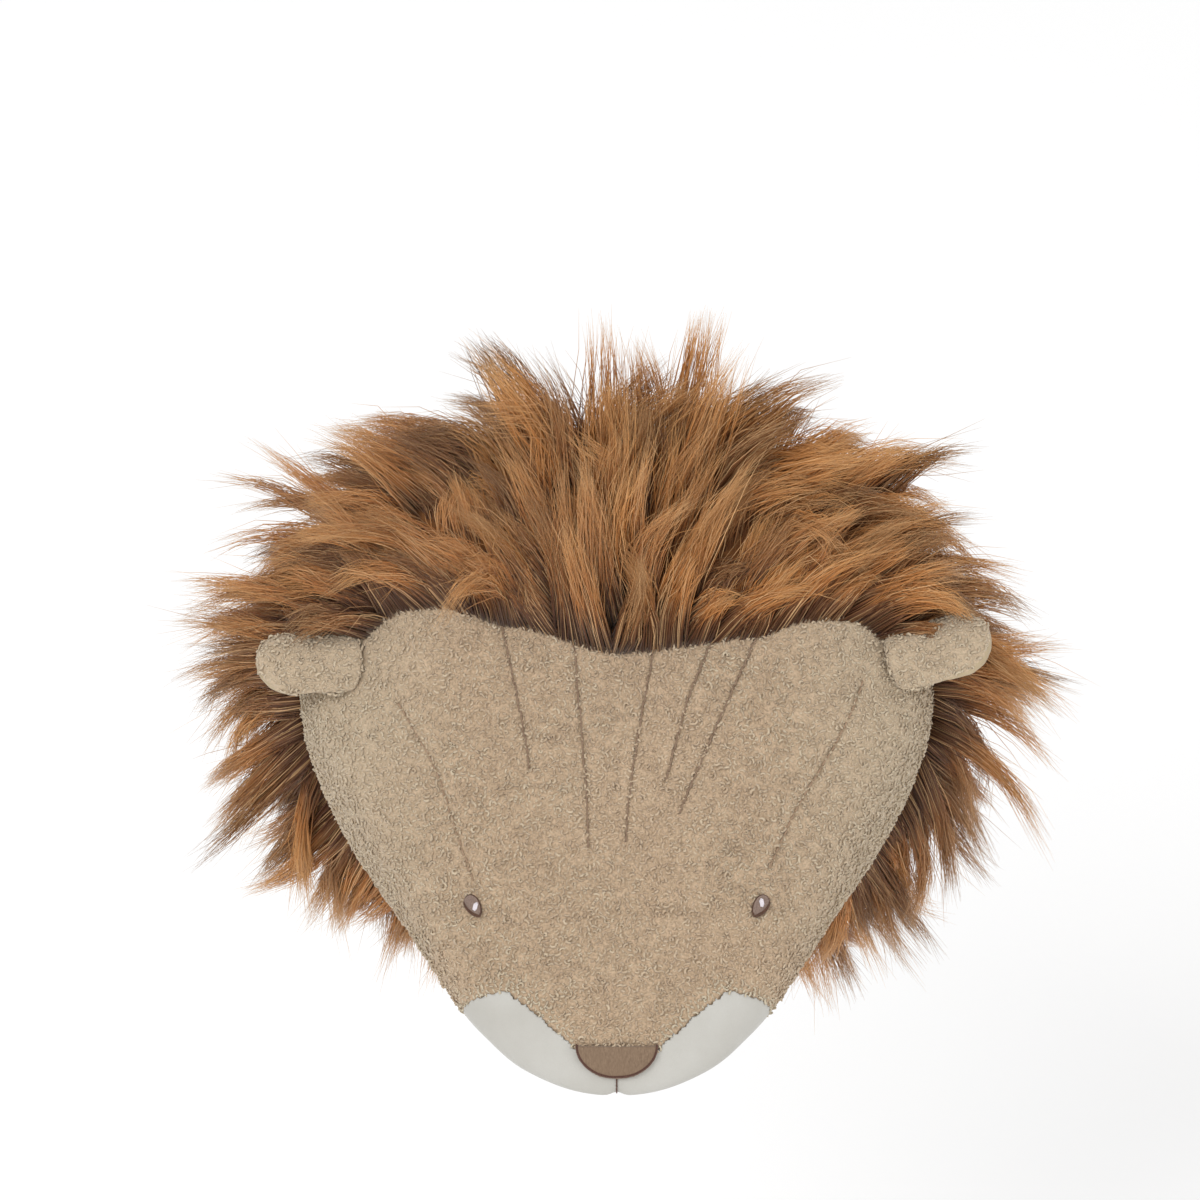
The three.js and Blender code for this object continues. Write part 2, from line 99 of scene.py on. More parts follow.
def placeLights():
    world = bpy.data.worlds.new("studio")
    world.use_nodes = True
    world.node_tree.nodes["Background"].inputs["Color"].default_value = (1, 1, 1, 1)
    world.node_tree.nodes["Background"].inputs["Strength"].default_value = lightSettings["world"]
    scene.world = world
    lampAt("key", lightSettings["keyPlace"], lightSettings["keySize"], lightSettings["keyPower"])
    lampAt("fill", lightSettings["fillPlace"], lightSettings["fillSize"], lightSettings["fillPower"])
    scene.view_settings.view_transform = "Standard"


placeCamera()
placeLights()


# Small helpers for meshes and node trees
def linked(name, mesh):
    piece = bpy.data.objects.new(name, mesh)
    scene.collection.objects.link(piece)
    return piece


def node(tree, kind, inputs=None, **settings):
    made = tree.nodes.new(kind)
    for key, value in settings.items():
        setattr(made, key, value)
    for key, value in (inputs or {}).items():
        sockets = [s for s in made.inputs if s.identifier == key] or [s for s in made.inputs if s.name == key]
        if isinstance(value, bpy.types.NodeSocket):
            tree.links.new(value, sockets[0])
        else:
            sockets[0].default_value = value
    return made


def maths(tree, operation, first, second=0.0):
    inputs = {"Value": first, "Value_001": second}
    return node(tree, "ShaderNodeMath", inputs, operation=operation).outputs[0]


def times(tree, first, *others):
    for other in others:
        first = maths(tree, "MULTIPLY", first, other)
    return first


# The base and a field's share of it: base + slope * field
def linear(tree, base, slope, field):
    return maths(tree, "ADD", base, times(tree, field, slope))


def restOf(tree, field):
    return maths(tree, "SUBTRACT", 1.0, field)


def vectors(tree, operation, first, second):
    inputs = {"Vector": first, "Scale" if operation == "SCALE" else "Vector_001": second}
    return node(tree, "ShaderNodeVectorMath", inputs, operation=operation).outputs[0]


def vectorOf(tree, x=0.0, y=0.0, z=0.0):
    return node(tree, "ShaderNodeCombineXYZ", {"X": x, "Y": y, "Z": z}).outputs[0]


def linearColour(code):
    parts = [int(code[i : i + 2], 16) / 255 for i in (1, 3, 5)]
    return tuple(c / 12.92 if c <= 0.04045 else ((c + 0.055) / 1.055) ** 2.4 for c in parts) + (1.0,)


def newTree(name, inputs):
    tree = bpy.data.node_groups.new(name, "GeometryNodeTree")
    tree.interface.new_socket("Geometry", in_out="INPUT", socket_type="NodeSocketGeometry")
    for label, (kind, value) in inputs.items():
        socket = tree.interface.new_socket(label, in_out="INPUT", socket_type="NodeSocket" + kind)
        if value is not None:
            socket.default_value = value
    tree.interface.new_socket("Geometry", in_out="OUTPUT", socket_type="NodeSocketGeometry")
    return tree, node(tree, "NodeGroupInput").outputs


def closeTree(tree, geometry, material):
    real = node(tree, "GeometryNodeRealizeInstances", {"Geometry": geometry}).outputs[0]
    smooth = node(tree, "GeometryNodeSetShadeSmooth", {"Geometry": real}).outputs[0]
    painted = node(tree, "GeometryNodeSetMaterial", {"Geometry": smooth, "Material": material}).outputs[0]
    node(tree, "NodeGroupOutput", {"Geometry": painted})


def namedField(tree, label, kind="FLOAT"):
    return node(tree, "GeometryNodeInputNamedAttribute", {"Name": label}, data_type=kind).outputs["Attribute"]


def keepField(tree, geometry, label, value, kind="FLOAT", domain="POINT"):
    inputs = {"Geometry": geometry, "Name": label, "Value": value}
    return node(tree, "GeometryNodeStoreNamedAttribute", inputs, data_type=kind, domain=domain).outputs[0]


def randomField(tree, low, high, seed, kind="FLOAT"):
    tail = {"FLOAT": "_001", "FLOAT_VECTOR": "", "INT": "_002"}[kind]
    inputs = {"Min" + tail: low, "Max" + tail: high, "Seed": seed}
    made = node(tree, "FunctionNodeRandomValue", inputs, data_type=kind)
    return next(s for s in made.outputs if s.identifier == "Value" + tail)


# Runs a Geometry Nodes tree over a mesh and returns the result as a plain piece
def grown(name, source, tree, values, keep=()):
    carrier = linked(name, source)
    modifier = carrier.modifiers.new("growth", "NODES")
    modifier.node_group = tree
    for socket in tree.interface.items_tree:
        if socket.in_out == "INPUT" and socket.name in values:
            modifier[socket.identifier] = values[socket.name]
    return settled(carrier, keep)


# Applies whatever modifiers a piece has, and keeps only the named attributes
def settled(piece, keep=None):
    depsgraph = bpy.context.evaluated_depsgraph_get()
    mesh = bpy.data.meshes.new_from_object(piece.evaluated_get(depsgraph))
    piece.modifiers.clear()
    piece.data = mesh
    if keep is not None:
        loose = [a.name for a in mesh.attributes if not (a.is_internal or a.is_required)]
        for label in loose:
            if label not in keep:
                mesh.attributes.remove(mesh.attributes[label])
        used = [m for m in mesh.materials if m]
        mesh.materials.clear()
        for material in used[:1]:
            mesh.materials.append(material)
    return piece


def pointsOf(mesh):
    points = np.empty(len(mesh.vertices) * 3, np.float32)
    mesh.vertices.foreach_get("co", points)
    return points.reshape(-1, 3).astype(float)


def setPoints(mesh, points):
    mesh.vertices.foreach_set("co", points.astype(np.float32).ravel())
    mesh.update()


def addField(mesh, label, values, kind="FLOAT"):
    field = mesh.attributes.new(label, kind, "POINT")
    part = "vector" if kind == "FLOAT_VECTOR" else "value"
    field.data.foreach_set(part, np.asarray(values, np.float32).ravel())


def meshFrom(name, points, faces):
    mesh = bpy.data.meshes.new(name)
    mesh.from_pydata([tuple(p) for p in points], [], faces)
    mesh.update()
    return mesh


# The faces of a grid of points that is stored row by row
def gridFaces(rows, columns, closed=True, downFirst=False):
    faces = []
    for i in range(rows - 1):
        for j in range(columns if closed else columns - 1):
            k = (j + 1) % columns
            here, beside = i * columns + j, i * columns + k
            under, across = here + columns, beside + columns
            faces.append((here, under, across, beside) if downFirst else (here, beside, across, under))
    return faces


def mergedCopy(label):
    made = bmesh.new()
    made.from_mesh(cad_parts[label].data)
    bmesh.ops.remove_doubles(made, verts=made.verts, dist=1e-6)
    mesh = bpy.data.meshes.new(label + "_copy")
    made.to_mesh(mesh)
    made.free()
    return mesh


def treeOf(mesh):
    return BVHTree.FromPolygons([v.co[:] for v in mesh.vertices], [p.vertices[:] for p in mesh.polygons])


# How far each point is from a tree's surface, or the reach where that is nearer
def nearestGaps(points, tree, reach):
    return np.array([tree.find_nearest(Vector(p), reach)[3] or reach for p in points])


# A soft skin made from a copy of a CAD node: remeshed evenly, then smoothed
def softSkin(name, label, voxel, rounds):
    piece = linked(name, mergedCopy(label))
    remesh = piece.modifiers.new("even", "REMESH")
    remesh.mode = "VOXEL"
    remesh.voxel_size = voxel
    remesh.use_smooth_shade = True
    smooth = piece.modifiers.new("soft", "SMOOTH")
    smooth.factor = 0.5
    smooth.iterations = rounds
    return settled(piece)


def gapToLine(points, line):
    best = np.full(len(points), 1e9)
    for start, end in zip(line[:-1], line[1:]):
        span = end - start
        share = np.clip(((points - start) @ span) / (span @ span), 0, 1)
        best = np.minimum(best, np.linalg.norm(points - start - share[:, None] * span, axis=1))
    return best


def lengthsOf(line):
    return np.r_[0, np.cumsum(np.linalg.norm(np.diff(line, axis=0), axis=1))]


def placesAt(line, lengths, spots):
    return np.stack([np.interp(spots, lengths, line[:, i]) for i in range(line.shape[1])], -1)


# The head's form, with the same sections as the part: at, wide, mid, top, low, square
headShape = {
    "depth": 0.234,
    "width": 0.270,
    "height": 0.236,
    "upperSquare": 2.4,
    "sections": [
        (0.0355, 0.832, 0.021, 0.455, -0.459, 2.1),
        (0.13, 0.933, 0.051, 0.445, -0.477, 2.1),
        (0.25, 0.998, 0.077, 0.398, -0.487, 2.1),
        (0.375, 0.987, 0.087, 0.318, -0.48, 2.0),
        (0.5, 0.894, 0.049, 0.233, -0.467, 1.95),
        (0.625, 0.757, -0.03, 0.136, -0.435, 1.85),
        (0.745, 0.62, -0.112, 0.034, -0.388, 1.8),
        (0.84, 0.5, -0.185, -0.055, -0.338, 1.8),
        (0.912, 0.38, -0.22, -0.127, -0.304, 1.9),
        (0.965, 0.25, -0.236, -0.186, -0.283, 2.0),
        (0.993, 0.13, -0.248, -0.23, -0.268, 2.0),
        (1.0, 0.0, -0.252, -0.252, -0.252, 2.0),
    ],
    # Each lobe of the hairline: across, forward, lift and spread
    "lobes": [(-0.304, 0.342, 0.008, 0.030), (0.333, 0.342, 0.0055, 0.032)],
    "normalStep": 0.004,
    "muzzleDepth": 0.028,
    "muzzleLevel": 0.125,
    "muzzleTilt": 22,
    "padLift": 0.0016,
    "padRise": 0.5,
    "padBelow": (-0.27, -0.2),
    "padGroove": 0.0016,
    "padGrooveWidth": 0.003,
    "bridgeWideEnd": 0.088,
    "bridgeLength": 0.019,
    "bridgeFrom": -0.056,
    "noseWidth": 0.035,
}


def smoothStep(value, low, high):
    share = np.clip((value - low) / (high - low), 0, 1)
    return share * share * (3 - 2 * share)


def sectionAt(along):
    rows = np.array(headShape["sections"])
    rows = np.vstack([2 * rows[0] - rows[1], rows, 2 * rows[-1] - rows[-2]])
    spot = np.clip(along, 0, 1) * (len(headShape["sections"]) - 1)
    index = np.minimum(spot.astype(int), len(headShape["sections"]) - 2)
    share = (spot - index)[..., None]
    before, first, second, after = (rows[index + i] for i in range(4))
    leave, arrive = 0.5 * (second - before), 0.5 * (after - first)
    cubic = 2 * first - 2 * second + leave + arrive
    square = -3 * first + 3 * second - 2 * leave - arrive
    return ((cubic * share + square) * share + leave) * share + first


def signedPower(value, power):
    return np.sign(value) * np.abs(value) ** power


def plainHead(along, angle):
    section = sectionAt(along)
    upper = np.sin(angle) > 0
    power = 2 / np.where(upper, headShape["upperSquare"], section[..., 5])
    across = signedPower(np.cos(angle), power) * np.maximum(0, section[..., 1]) * headShape["width"] / 2
    edge = np.where(upper, section[..., 3] - section[..., 2], section[..., 2] - section[..., 4])
    level = section[..., 2] + edge * signedPower(np.sin(angle), power)
    return np.stack([across, -section[..., 0] * headShape["depth"], level * headShape["height"]], -1)


def headSurface(along, angle):
    step = headShape["normalStep"]
    chord = plainHead(along, angle + step) - plainHead(along, angle - step)
    run = plainHead(np.minimum(1, along + step), angle) - plainHead(np.maximum(0, along - step), angle)
    normal = np.cross(chord, run)
    normal /= np.linalg.norm(normal, axis=-1, keepdims=True) + 1e-12
    points = plainHead(along, angle)
    forward = -points[..., 1]
    lift = np.zeros(forward.shape)
    for across, ahead, height, spread in headShape["lobes"]:
        away = np.hypot(points[..., 0] - across * headShape["width"], forward - ahead * headShape["depth"])
        lift += np.where(points[..., 2] > 0, height * np.exp(-((away / spread) ** 2)), 0)
    start = headShape["depth"] - headShape["muzzleDepth"]
    onMuzzle = smoothStep(forward, start, start + headShape["muzzleDepth"] * headShape["padRise"])
    low, high = (share * headShape["height"] for share in headShape["padBelow"])
    below = 1 - smoothStep(points[..., 2], low, high)
    groove = np.exp(-((points[..., 0] / headShape["padGrooveWidth"]) ** 2))
    lift += onMuzzle * below * (headShape["padLift"] - headShape["padGroove"] * groove)
    return points + normal * lift[..., None], normal


alongSamples = np.linspace(0, 1, 2001)
forwardSamples = sectionAt(alongSamples)[:, 0] * headShape["depth"]


def alongAt(forward):
    return np.interp(forward, forwardSamples, alongSamples)


# A fine copy of the whole form, that skins are laid against so that they show no facets
def fineHead():
    rows, columns, lastAlong = 200, 240, 0.999
    turns = np.linspace(0, 2 * math.pi, columns, endpoint=False)
    along, angle = np.meshgrid(np.linspace(0, lastAlong, rows), turns, indexing="ij")
    points = headSurface(along, angle)[0].reshape(-1, 3)
    return BVHTree.FromPolygons([tuple(p) for p in points], gridFaces(rows, columns))


headTree = fineHead()
print("head form ready")


# How far a point of the surface lies inside the smooth muzzle panel, less than 0 on the curled pile
def muzzleInset(points):
    forward, level = -points[..., 1], points[..., 2]
    start = headShape["depth"] - headShape["muzzleDepth"]
    tilt = math.radians(headShape["muzzleTilt"])
    height = level + headShape["muzzleLevel"] * headShape["height"]
    front = (forward - start) * math.cos(tilt) - height * math.sin(tilt)
    wide, narrow = headShape["bridgeWideEnd"] / 2, headShape["noseWidth"] / 2
    length = headShape["bridgeLength"]
    share = np.clip((forward - start) / length, 0, 1)
    slope = math.cos(math.atan2(wide - narrow, length))
    beside = (np.abs(points[..., 0]) - wide + (wide - narrow) * share) * np.where(share > 0, slope, 1.0)
    past = forward - start - length
    offStrip = np.where(level > headShape["bridgeFrom"], np.maximum(beside, past), 1.0)
    return np.minimum(front, offStrip)


# Lines traced over the forehead: across, forward and level in millimetres
stitchLines = {
    "farLeft": [
        (-93.4, 111.4, 50.9), (-89, 118.6, 45.4), (-75.3, 137.2, 31.4), (-73.8, 142.4, 27), (-60, 173.7, 0.9),
    ],
    "left": [(-48.5, 90.3, 73.7), (-44.2, 107.6, 61), (-40.3, 122, 50), (-36.3, 140.5, 35.4)],
    "leftMiddle": [(-18, 98.2, 67.9), (-13.8, 137.2, 39.2), (-12.5, 151.7, 27.4), (-11.7, 167.1, 14.2)],
    "rightMiddle": [(15.1, 101.6, 65.6), (9, 128.5, 46.2), (5, 150.8, 28.3), (3.6, 165.3, 15.9)],
    "right": [(39.5, 97, 68.1), (29.9, 116.1, 55), (20.3, 145.4, 32.4)],
    "outerRight": [(57.6, 96.7, 67.8), (43.1, 123.2, 48.8), (32.5, 143, 33.7), (25.7, 155.6, 23.5)],
    "farRight": [
        (105.6, 100.7, 53.9), (96.1, 120.1, 40.6), (78.1, 144.9, 23), (68.7, 160.3, 11.4), (63.2, 169.7, 4),
    ],
}
creaseLines = {
    "brow": [(-3.3, 185.9, -2.8), (22.3, 185.5, -3.1), (47.5, 183.3, -5.2)],
    "cheek": [(48.4, 187.2, -9.6), (46.7, 194.4, -17.2), (42.5, 200.7, -22.8)],
}
# The face's edge under the fur, traced in the same way
hairline = [
    (-107.2, 84.7, 64.8), (-101.4, 81.8, 70.7), (-93.5, 80, 76.7), (-83.7, 80.4, 80), (-72.4, 81.6, 81.1),
    (-64.6, 84.2, 79.4), (-53.6, 88, 76), (-42.6, 89.5, 73.9), (-31.6, 91.9, 72.1), (-24, 94.1, 70.6),
    (-10.4, 98.8, 67.6), (3.1, 100.1, 66.8), (16.6, 98.7, 67.5), (29.9, 96.9, 68.5), (46.2, 94, 70),
    (62.3, 92.4, 70.8), (73.4, 87.6, 74), (84, 84, 74.5), (97.7, 80.9, 71.9), (105.9, 80.4, 67.8),
    (111.5, 83.3, 62.5),
]


# A traced line laid on the head, with points every step
def laidLine(line, step=0.0015):
    knots = np.array([(x, -forward, level) for x, forward, level in line]) * mm
    lengths = lengthsOf(knots)
    count = max(2, int(lengths[-1] / step))
    rough = placesAt(knots, lengths, np.linspace(0, lengths[-1], count))
    beyond = 4  # points on either side that each one is averaged with
    kernel = np.ones(2 * beyond + 1) / (2 * beyond + 1)
    for i in range(3):
        padded = np.r_[np.full(beyond, rough[0, i]), rough[:, i], np.full(beyond, rough[-1, i])]
        rough[:, i] = np.convolve(padded, kernel, "valid")
    return np.array([headTree.find_nearest(Vector(p))[0] for p in rough])


# Where the fur meets the face, as its distance from the wall at an angle seen from the front
hairlineSettings = {"side": 0.073, "axisLevel": 0.0189}


def hairlineAt(angle):
    traced = np.array(hairline) * mm
    traceAngles = np.arctan2(traced[:, 2] - hairlineSettings["axisLevel"], traced[:, 0])
    order = np.argsort(traceAngles)
    side = hairlineSettings["side"]
    knots = np.r_[-math.pi, -0.1, traceAngles[order], math.pi - 0.05, math.pi + 0.01]
    values = np.r_[side, side, traced[order, 1], side, side]
    return np.interp((angle + math.pi) % (2 * math.pi) - math.pi, knots, values)


def angleOf(points):
    return np.arctan2(points[..., 2] - hairlineSettings["axisLevel"], points[..., 0])


# The scalp: the part of the head that carries the fur, from the hairline to the wall
def scalpGrid(columns, rows, rear, ahead=0.0):
    angle = np.linspace(0, 2 * math.pi, columns, endpoint=False)
    shares = np.linspace(0, 1, rows)
    firstGuess, rounds = 0.09, 8
    forward = np.full(columns, firstGuess)
    for _ in range(rounds):
        forward = hairlineAt(angleOf(headSurface(alongAt(forward), angle)[0]))
    depth = (forward[None] + ahead) * (1 - shares[:, None]) + rear * shares[:, None]
    points, normals = headSurface(alongAt(depth), np.broadcast_to(angle, depth.shape))
    return points, normals, shares


# Finishes. Each one is a Principled shader with its colour, bump and sheen from nodes
def mixedColour(tree, factor, first, second):
    first, second = (linearColour(c) if isinstance(c, str) else c for c in (first, second))
    inputs = {"Factor_Float": factor, "A_Color": first, "B_Color": second}
    made = node(tree, "ShaderNodeMix", inputs, data_type="RGBA")
    return next(s for s in made.outputs if s.identifier == "Result_Color")


def noiseField(tree, scale, detail=2.0, stretch=None, roughness=0.5):
    place = node(tree, "ShaderNodeTexCoord").outputs["Object"]
    if stretch:
        place = node(tree, "ShaderNodeMapping", {"Vector": place, "Scale": stretch}).outputs[0]
    inputs = {"Vector": place, "Scale": scale, "Detail": detail, "Roughness": roughness}
    return node(tree, "ShaderNodeTexNoise", inputs).outputs[0]


def attributeField(tree, label):
    return node(tree, "ShaderNodeAttribute", attribute_name=label).outputs["Fac"]


def stretched(tree, value, low, high, outLow=0.0, outHigh=1.0):
    inputs = {"Value": value, "From Min": low, "From Max": high, "To Min": outLow, "To Max": outHigh}
    return node(tree, "ShaderNodeMapRange", inputs).outputs[0]


def ramp(tree, factor, stops):
    made = node(tree, "ShaderNodeValToRGB", {"Fac": factor})
    elements = made.color_ramp.elements
    while len(elements) < len(stops):
        elements.new(0.5)
    for element, (place, code) in zip(elements, stops):
        element.position = place
        element.color = linearColour(code)
    return made.outputs[0]


def newFinish(name, roughness, sheen=0.0, sheenRoughness=0.5, specular=0.25):
    material = bpy.data.materials.new(name)
    material.use_nodes = True
    shader = material.node_tree.nodes["Principled BSDF"]
    shader.inputs["Roughness"].default_value = roughness
    shader.inputs["Specular IOR Level"].default_value = specular
    shader.inputs["Sheen Weight"].default_value = sheen
    shader.inputs["Sheen Roughness"].default_value = sheenRoughness
    return material, material.node_tree, shader


def joinUp(tree, shader, colour, height=None, strength=0.3, distance=0.0005):
    tree.links.new(colour, shader.inputs["Base Color"])
    if height is not None:
        bump = node(tree, "ShaderNodeBump", {"Height": height, "Strength": strength, "Distance": distance})
        tree.links.new(bump.outputs[0], shader.inputs["Normal"])


boucleColours = {
    "dark": "#b39e84",
    "light": "#ccbca2",
    "clump": "#a98f74",
    "pale": "#c6b9a1",
    "warm": "#c8ae92",
    # the backing between the curls: darker than the curls, partly as painted shade deep in the pile
    "shadedGround": "#a38e75",
}


def curlFinish():
    material, tree, shader = newFinish("boucleCurls", 0.92, 0.25, 0.5, 0.15)
    tone = attributeField(tree, "curlTone")
    colour = mixedColour(tree, tone, boucleColours["dark"], boucleColours["light"])
    clumps = stretched(tree, noiseField(tree, 120, 2), 0.45, 0.66, 0, 0.55)
    colour = mixedColour(tree, clumps, colour, boucleColours["clump"])
    patches = stretched(tree, noiseField(tree, 22, 3), 0.38, 0.66, 0, 0.45)
    colour = mixedColour(tree, patches, colour, boucleColours["warm"])
    side = times(tree, attributeField(tree, "paleness"), 0.5)
    colour = mixedColour(tree, side, colour, boucleColours["pale"])
    joinUp(tree, shader, colour, noiseField(tree, 5200, 2), 0.4, 0.0002)
    return material


# The backing that shows between the curls; its darker colour is partly painted shade in the pile
def shadedGroundFinish():
    material, tree, shader = newFinish("boucleShadedGround", 0.95, 0.2, 0.5, 0.1)
    knots = noiseField(tree, 900, 4)
    shade = stretched(tree, knots, 0.35, 0.65)
    colour = mixedColour(tree, shade, boucleColours["shadedGround"], boucleColours["warm"])
    side = times(tree, attributeField(tree, "paleness"), 0.4)
    colour = mixedColour(tree, side, colour, boucleColours["pale"])
    joinUp(tree, shader, colour, knots, 0.9, 0.0012)
    return material


def velourFinish(name, base, shadow, fine=2600, sheen=0.35):
    material, tree, shader = newFinish(name, 0.85, sheen, 0.35, 0.15)
    clouds = stretched(tree, noiseField(tree, 45, 3), 0.35, 0.7, 0, 0.55)
    nap = noiseField(tree, fine, 3)
    colour = mixedColour(tree, clouds, base, shadow)
    colour = mixedColour(tree, stretched(tree, nap, 0.3, 0.7, 0, 0.35), colour, shadow)
    joinUp(tree, shader, colour, nap, 0.45, 0.0005)
    return material


def feltFinish(name, base, dark, light):
    material, tree, shader = newFinish(name, 0.93, 0.2, 0.5, 0.12)
    fibres = noiseField(tree, 1500, 4, (1.0, 0.35, 0.35), 0.7)
    clouds = noiseField(tree, 70, 2)
    colour = mixedColour(tree, stretched(tree, fibres, 0.3, 0.7), dark, light)
    colour = mixedColour(tree, stretched(tree, clouds, 0.3, 0.7, 0.35, 0.75), colour, base)
    joinUp(tree, shader, colour, fibres, 0.6, 0.0005)
    return material


def threadFinish(name, base, light):
    material, tree, shader = newFinish(name, 0.55, 0.15, 0.4, 0.35)
    ply = noiseField(tree, 2600, 2, (1.0, 1.0, 2.2))
    colour = mixedColour(tree, stretched(tree, ply, 0.35, 0.65), base, light)
    joinUp(tree, shader, colour, ply, 0.5, 0.0002)
    return material


maneColours = {
    # root to tip along each strand; the dark root end is partly painted shade deep in the fur
    "along": [(0.0, "#4a2a16"), (0.24, "#693e20"), (0.52, "#bf7d41"), (0.8, "#d4995c"), (1.0, "#dbab74")],
    "darkLock": "#53301a",
    "lightStrand": "#e2b683",
    "ashStrand": "#a07346",
    # the undercoat's browns, dark as painted shade seen between the strands
    "underShadeDark": "#5e3b1f",
    "underShadePale": "#875932",
}


def strandFinish():
    material, tree, shader = newFinish("maneStrands", 0.48, 0.12, 0.4, 0.32)
    # dark at the roots, partly as painted shade deep in the fur, lighter towards the tips
    colour = ramp(tree, attributeField(tree, "along"), maneColours["along"])
    lock = stretched(tree, attributeField(tree, "lockTone"), 0.0, 0.6, 0.75, 0.0)
    colour = mixedColour(tree, lock, colour, maneColours["darkLock"])
    strand = attributeField(tree, "strandTone")
    colour = mixedColour(tree, stretched(tree, strand, 0.66, 1.0, 0, 0.8), colour, maneColours["lightStrand"])
    colour = mixedColour(tree, stretched(tree, strand, 0.3, 0.0, 0, 0.5), colour, maneColours["ashStrand"])
    joinUp(tree, shader, colour, noiseField(tree, 600, 2), 0.1, 0.0001)
    return material


# The undercoat's dark streaked brown is painted shade seen between the strands
def underShadeFinish():
    material, tree, shader = newFinish("maneUndercoatShade", 0.8, 0.1, 0.5, 0.15)
    streaks = noiseField(tree, 420, 4, (1.0, 0.3, 1.0))
    shade = stretched(tree, streaks, 0.3, 0.7)
    colour = mixedColour(tree, shade, maneColours["underShadeDark"], maneColours["underShadePale"])
    joinUp(tree, shader, colour, streaks, 0.8, 0.002)
    return material


finishes = {
    "curls": curlFinish(),
    "shadedGround": shadedGroundFinish(),
    "muzzle": velourFinish("muzzleVelour", "#c0beb8", "#b0ada5"),
    "lining": velourFinish("earLining", "#bcab8f", "#9c8a6c", 1800, 0.25),
    "nose": feltFinish("noseFelt", "#7f6a57", "#5f4c3d", "#98826c"),
    "back": feltFinish("backFelt", "#b9a78a", "#9a8768", "#cdbd9f"),
    "strands": strandFinish(),
    "under": underShadeFinish(),
    "browThread": threadFinish("browThread", "#78604c", "#97806a"),
    "faintThread": threadFinish("faintThread", "#8e745c", "#a98f76"),
    "noseThread": threadFinish("noseThread", "#41271c", "#69463a"),
    "eyeThread": threadFinish("eyeOutlineThread", "#3d2618", "#6b4a38"),
    "eyeFill": threadFinish("eyeFillThread", "#756056", "#988478"),
    "eyeLight": threadFinish("eyeLightThread", "#cdc4ca", "#e9e3e6"),
    "rimThread": threadFinish("rimThread", "#a08c6c", "#c7b595"),
}
print("finishes ready")


def tubeOn(tree, curve, sides, radius, girth=1.0):
    ring = node(tree, "GeometryNodeCurvePrimitiveCircle", {"Resolution": sides, "Radius": radius}).outputs[0]
    inputs = {"Curve": curve, "Profile Curve": ring, "Scale": girth, "Fill Caps": True}
    return node(tree, "GeometryNodeCurveToMesh", inputs).outputs[0]


# A sewn thread: each point of the source mesh becomes one stitch that dips at both ends
def threadTree():
    tree, given = newTree("sewnThread", {
        "Thread Radius": ("Float", 0.0003),
        "Rise": ("Float", 0.0003),
        "Seed": ("Int", 1),
        "Material": ("Material", None),
    })
    dip = vectors(tree, "SCALE", (0, 0, -1.0), given["Rise"])
    rise = vectors(tree, "SCALE", (0, 0, 1.6), given["Rise"])
    start, end = (vectors(tree, "ADD", dip, (x, 0, 0)) for x in (-0.5, 0.5))
    inputs = {"Resolution": 4, "Start": start, "Middle": rise, "End": end}
    bow = node(tree, "GeometryNodeCurveQuadraticBezier", inputs).outputs[0]
    strand = tubeOn(tree, bow, 5, given["Thread Radius"])
    inputs = {"Vector": namedField(tree, "way", "FLOAT_VECTOR")}
    turned = node(tree, "FunctionNodeAlignRotationToVector", inputs, axis="X").outputs[0]
    inputs = {"Rotation": turned, "Vector": namedField(tree, "out", "FLOAT_VECTOR")}
    turned = node(tree, "FunctionNodeAlignRotationToVector", inputs, axis="Z", pivot_axis="X").outputs[0]
    length = times(tree, namedField(tree, "long"), randomField(tree, 0.92, 1.06, given["Seed"]))
    size = vectorOf(tree, length, 1.0, 1.0)
    inputs = {"Points": given["Geometry"], "Instance": strand, "Rotation": turned, "Scale": size}
    sewn = node(tree, "GeometryNodeInstanceOnPoints", inputs).outputs[0]
    closeTree(tree, sewn, given["Material"])
    return tree


# The kinds of curl: each arc's radius in millimetres, its sweep in degrees and whether it stands up
curlKinds = [(0.7, 190, 0), (1.05, 115, 0), (0.48, 270, 0), (0.62, 185, 1), (1.5, 75, 0)]


# One kind of curl, with the middle of its arc at the origin
def curlInstance(tree, thickness, radius, turn, standing):
    middle = math.pi / 2 if standing else 0
    bend = {"Resolution": 4, "Radius": radius, "Start Angle": middle - turn / 2, "Sweep Angle": turn}
    yarn = tubeOn(tree, node(tree, "GeometryNodeCurveArc", bend).outputs[0], 3, thickness)
    centre = radius * math.sin(turn / 2) / (turn / 2)
    place = (0, 0, -0.6 * centre) if standing else (-centre, 0, 0)
    laid = {"Geometry": yarn, "Translation": place, "Rotation": (math.pi / 2 * standing, 0, 0)}
    curl = node(tree, "GeometryNodeTransform", laid).outputs[0]
    return node(tree, "GeometryNodeGeometryToInstance", {"Geometry": curl}).outputs[0]


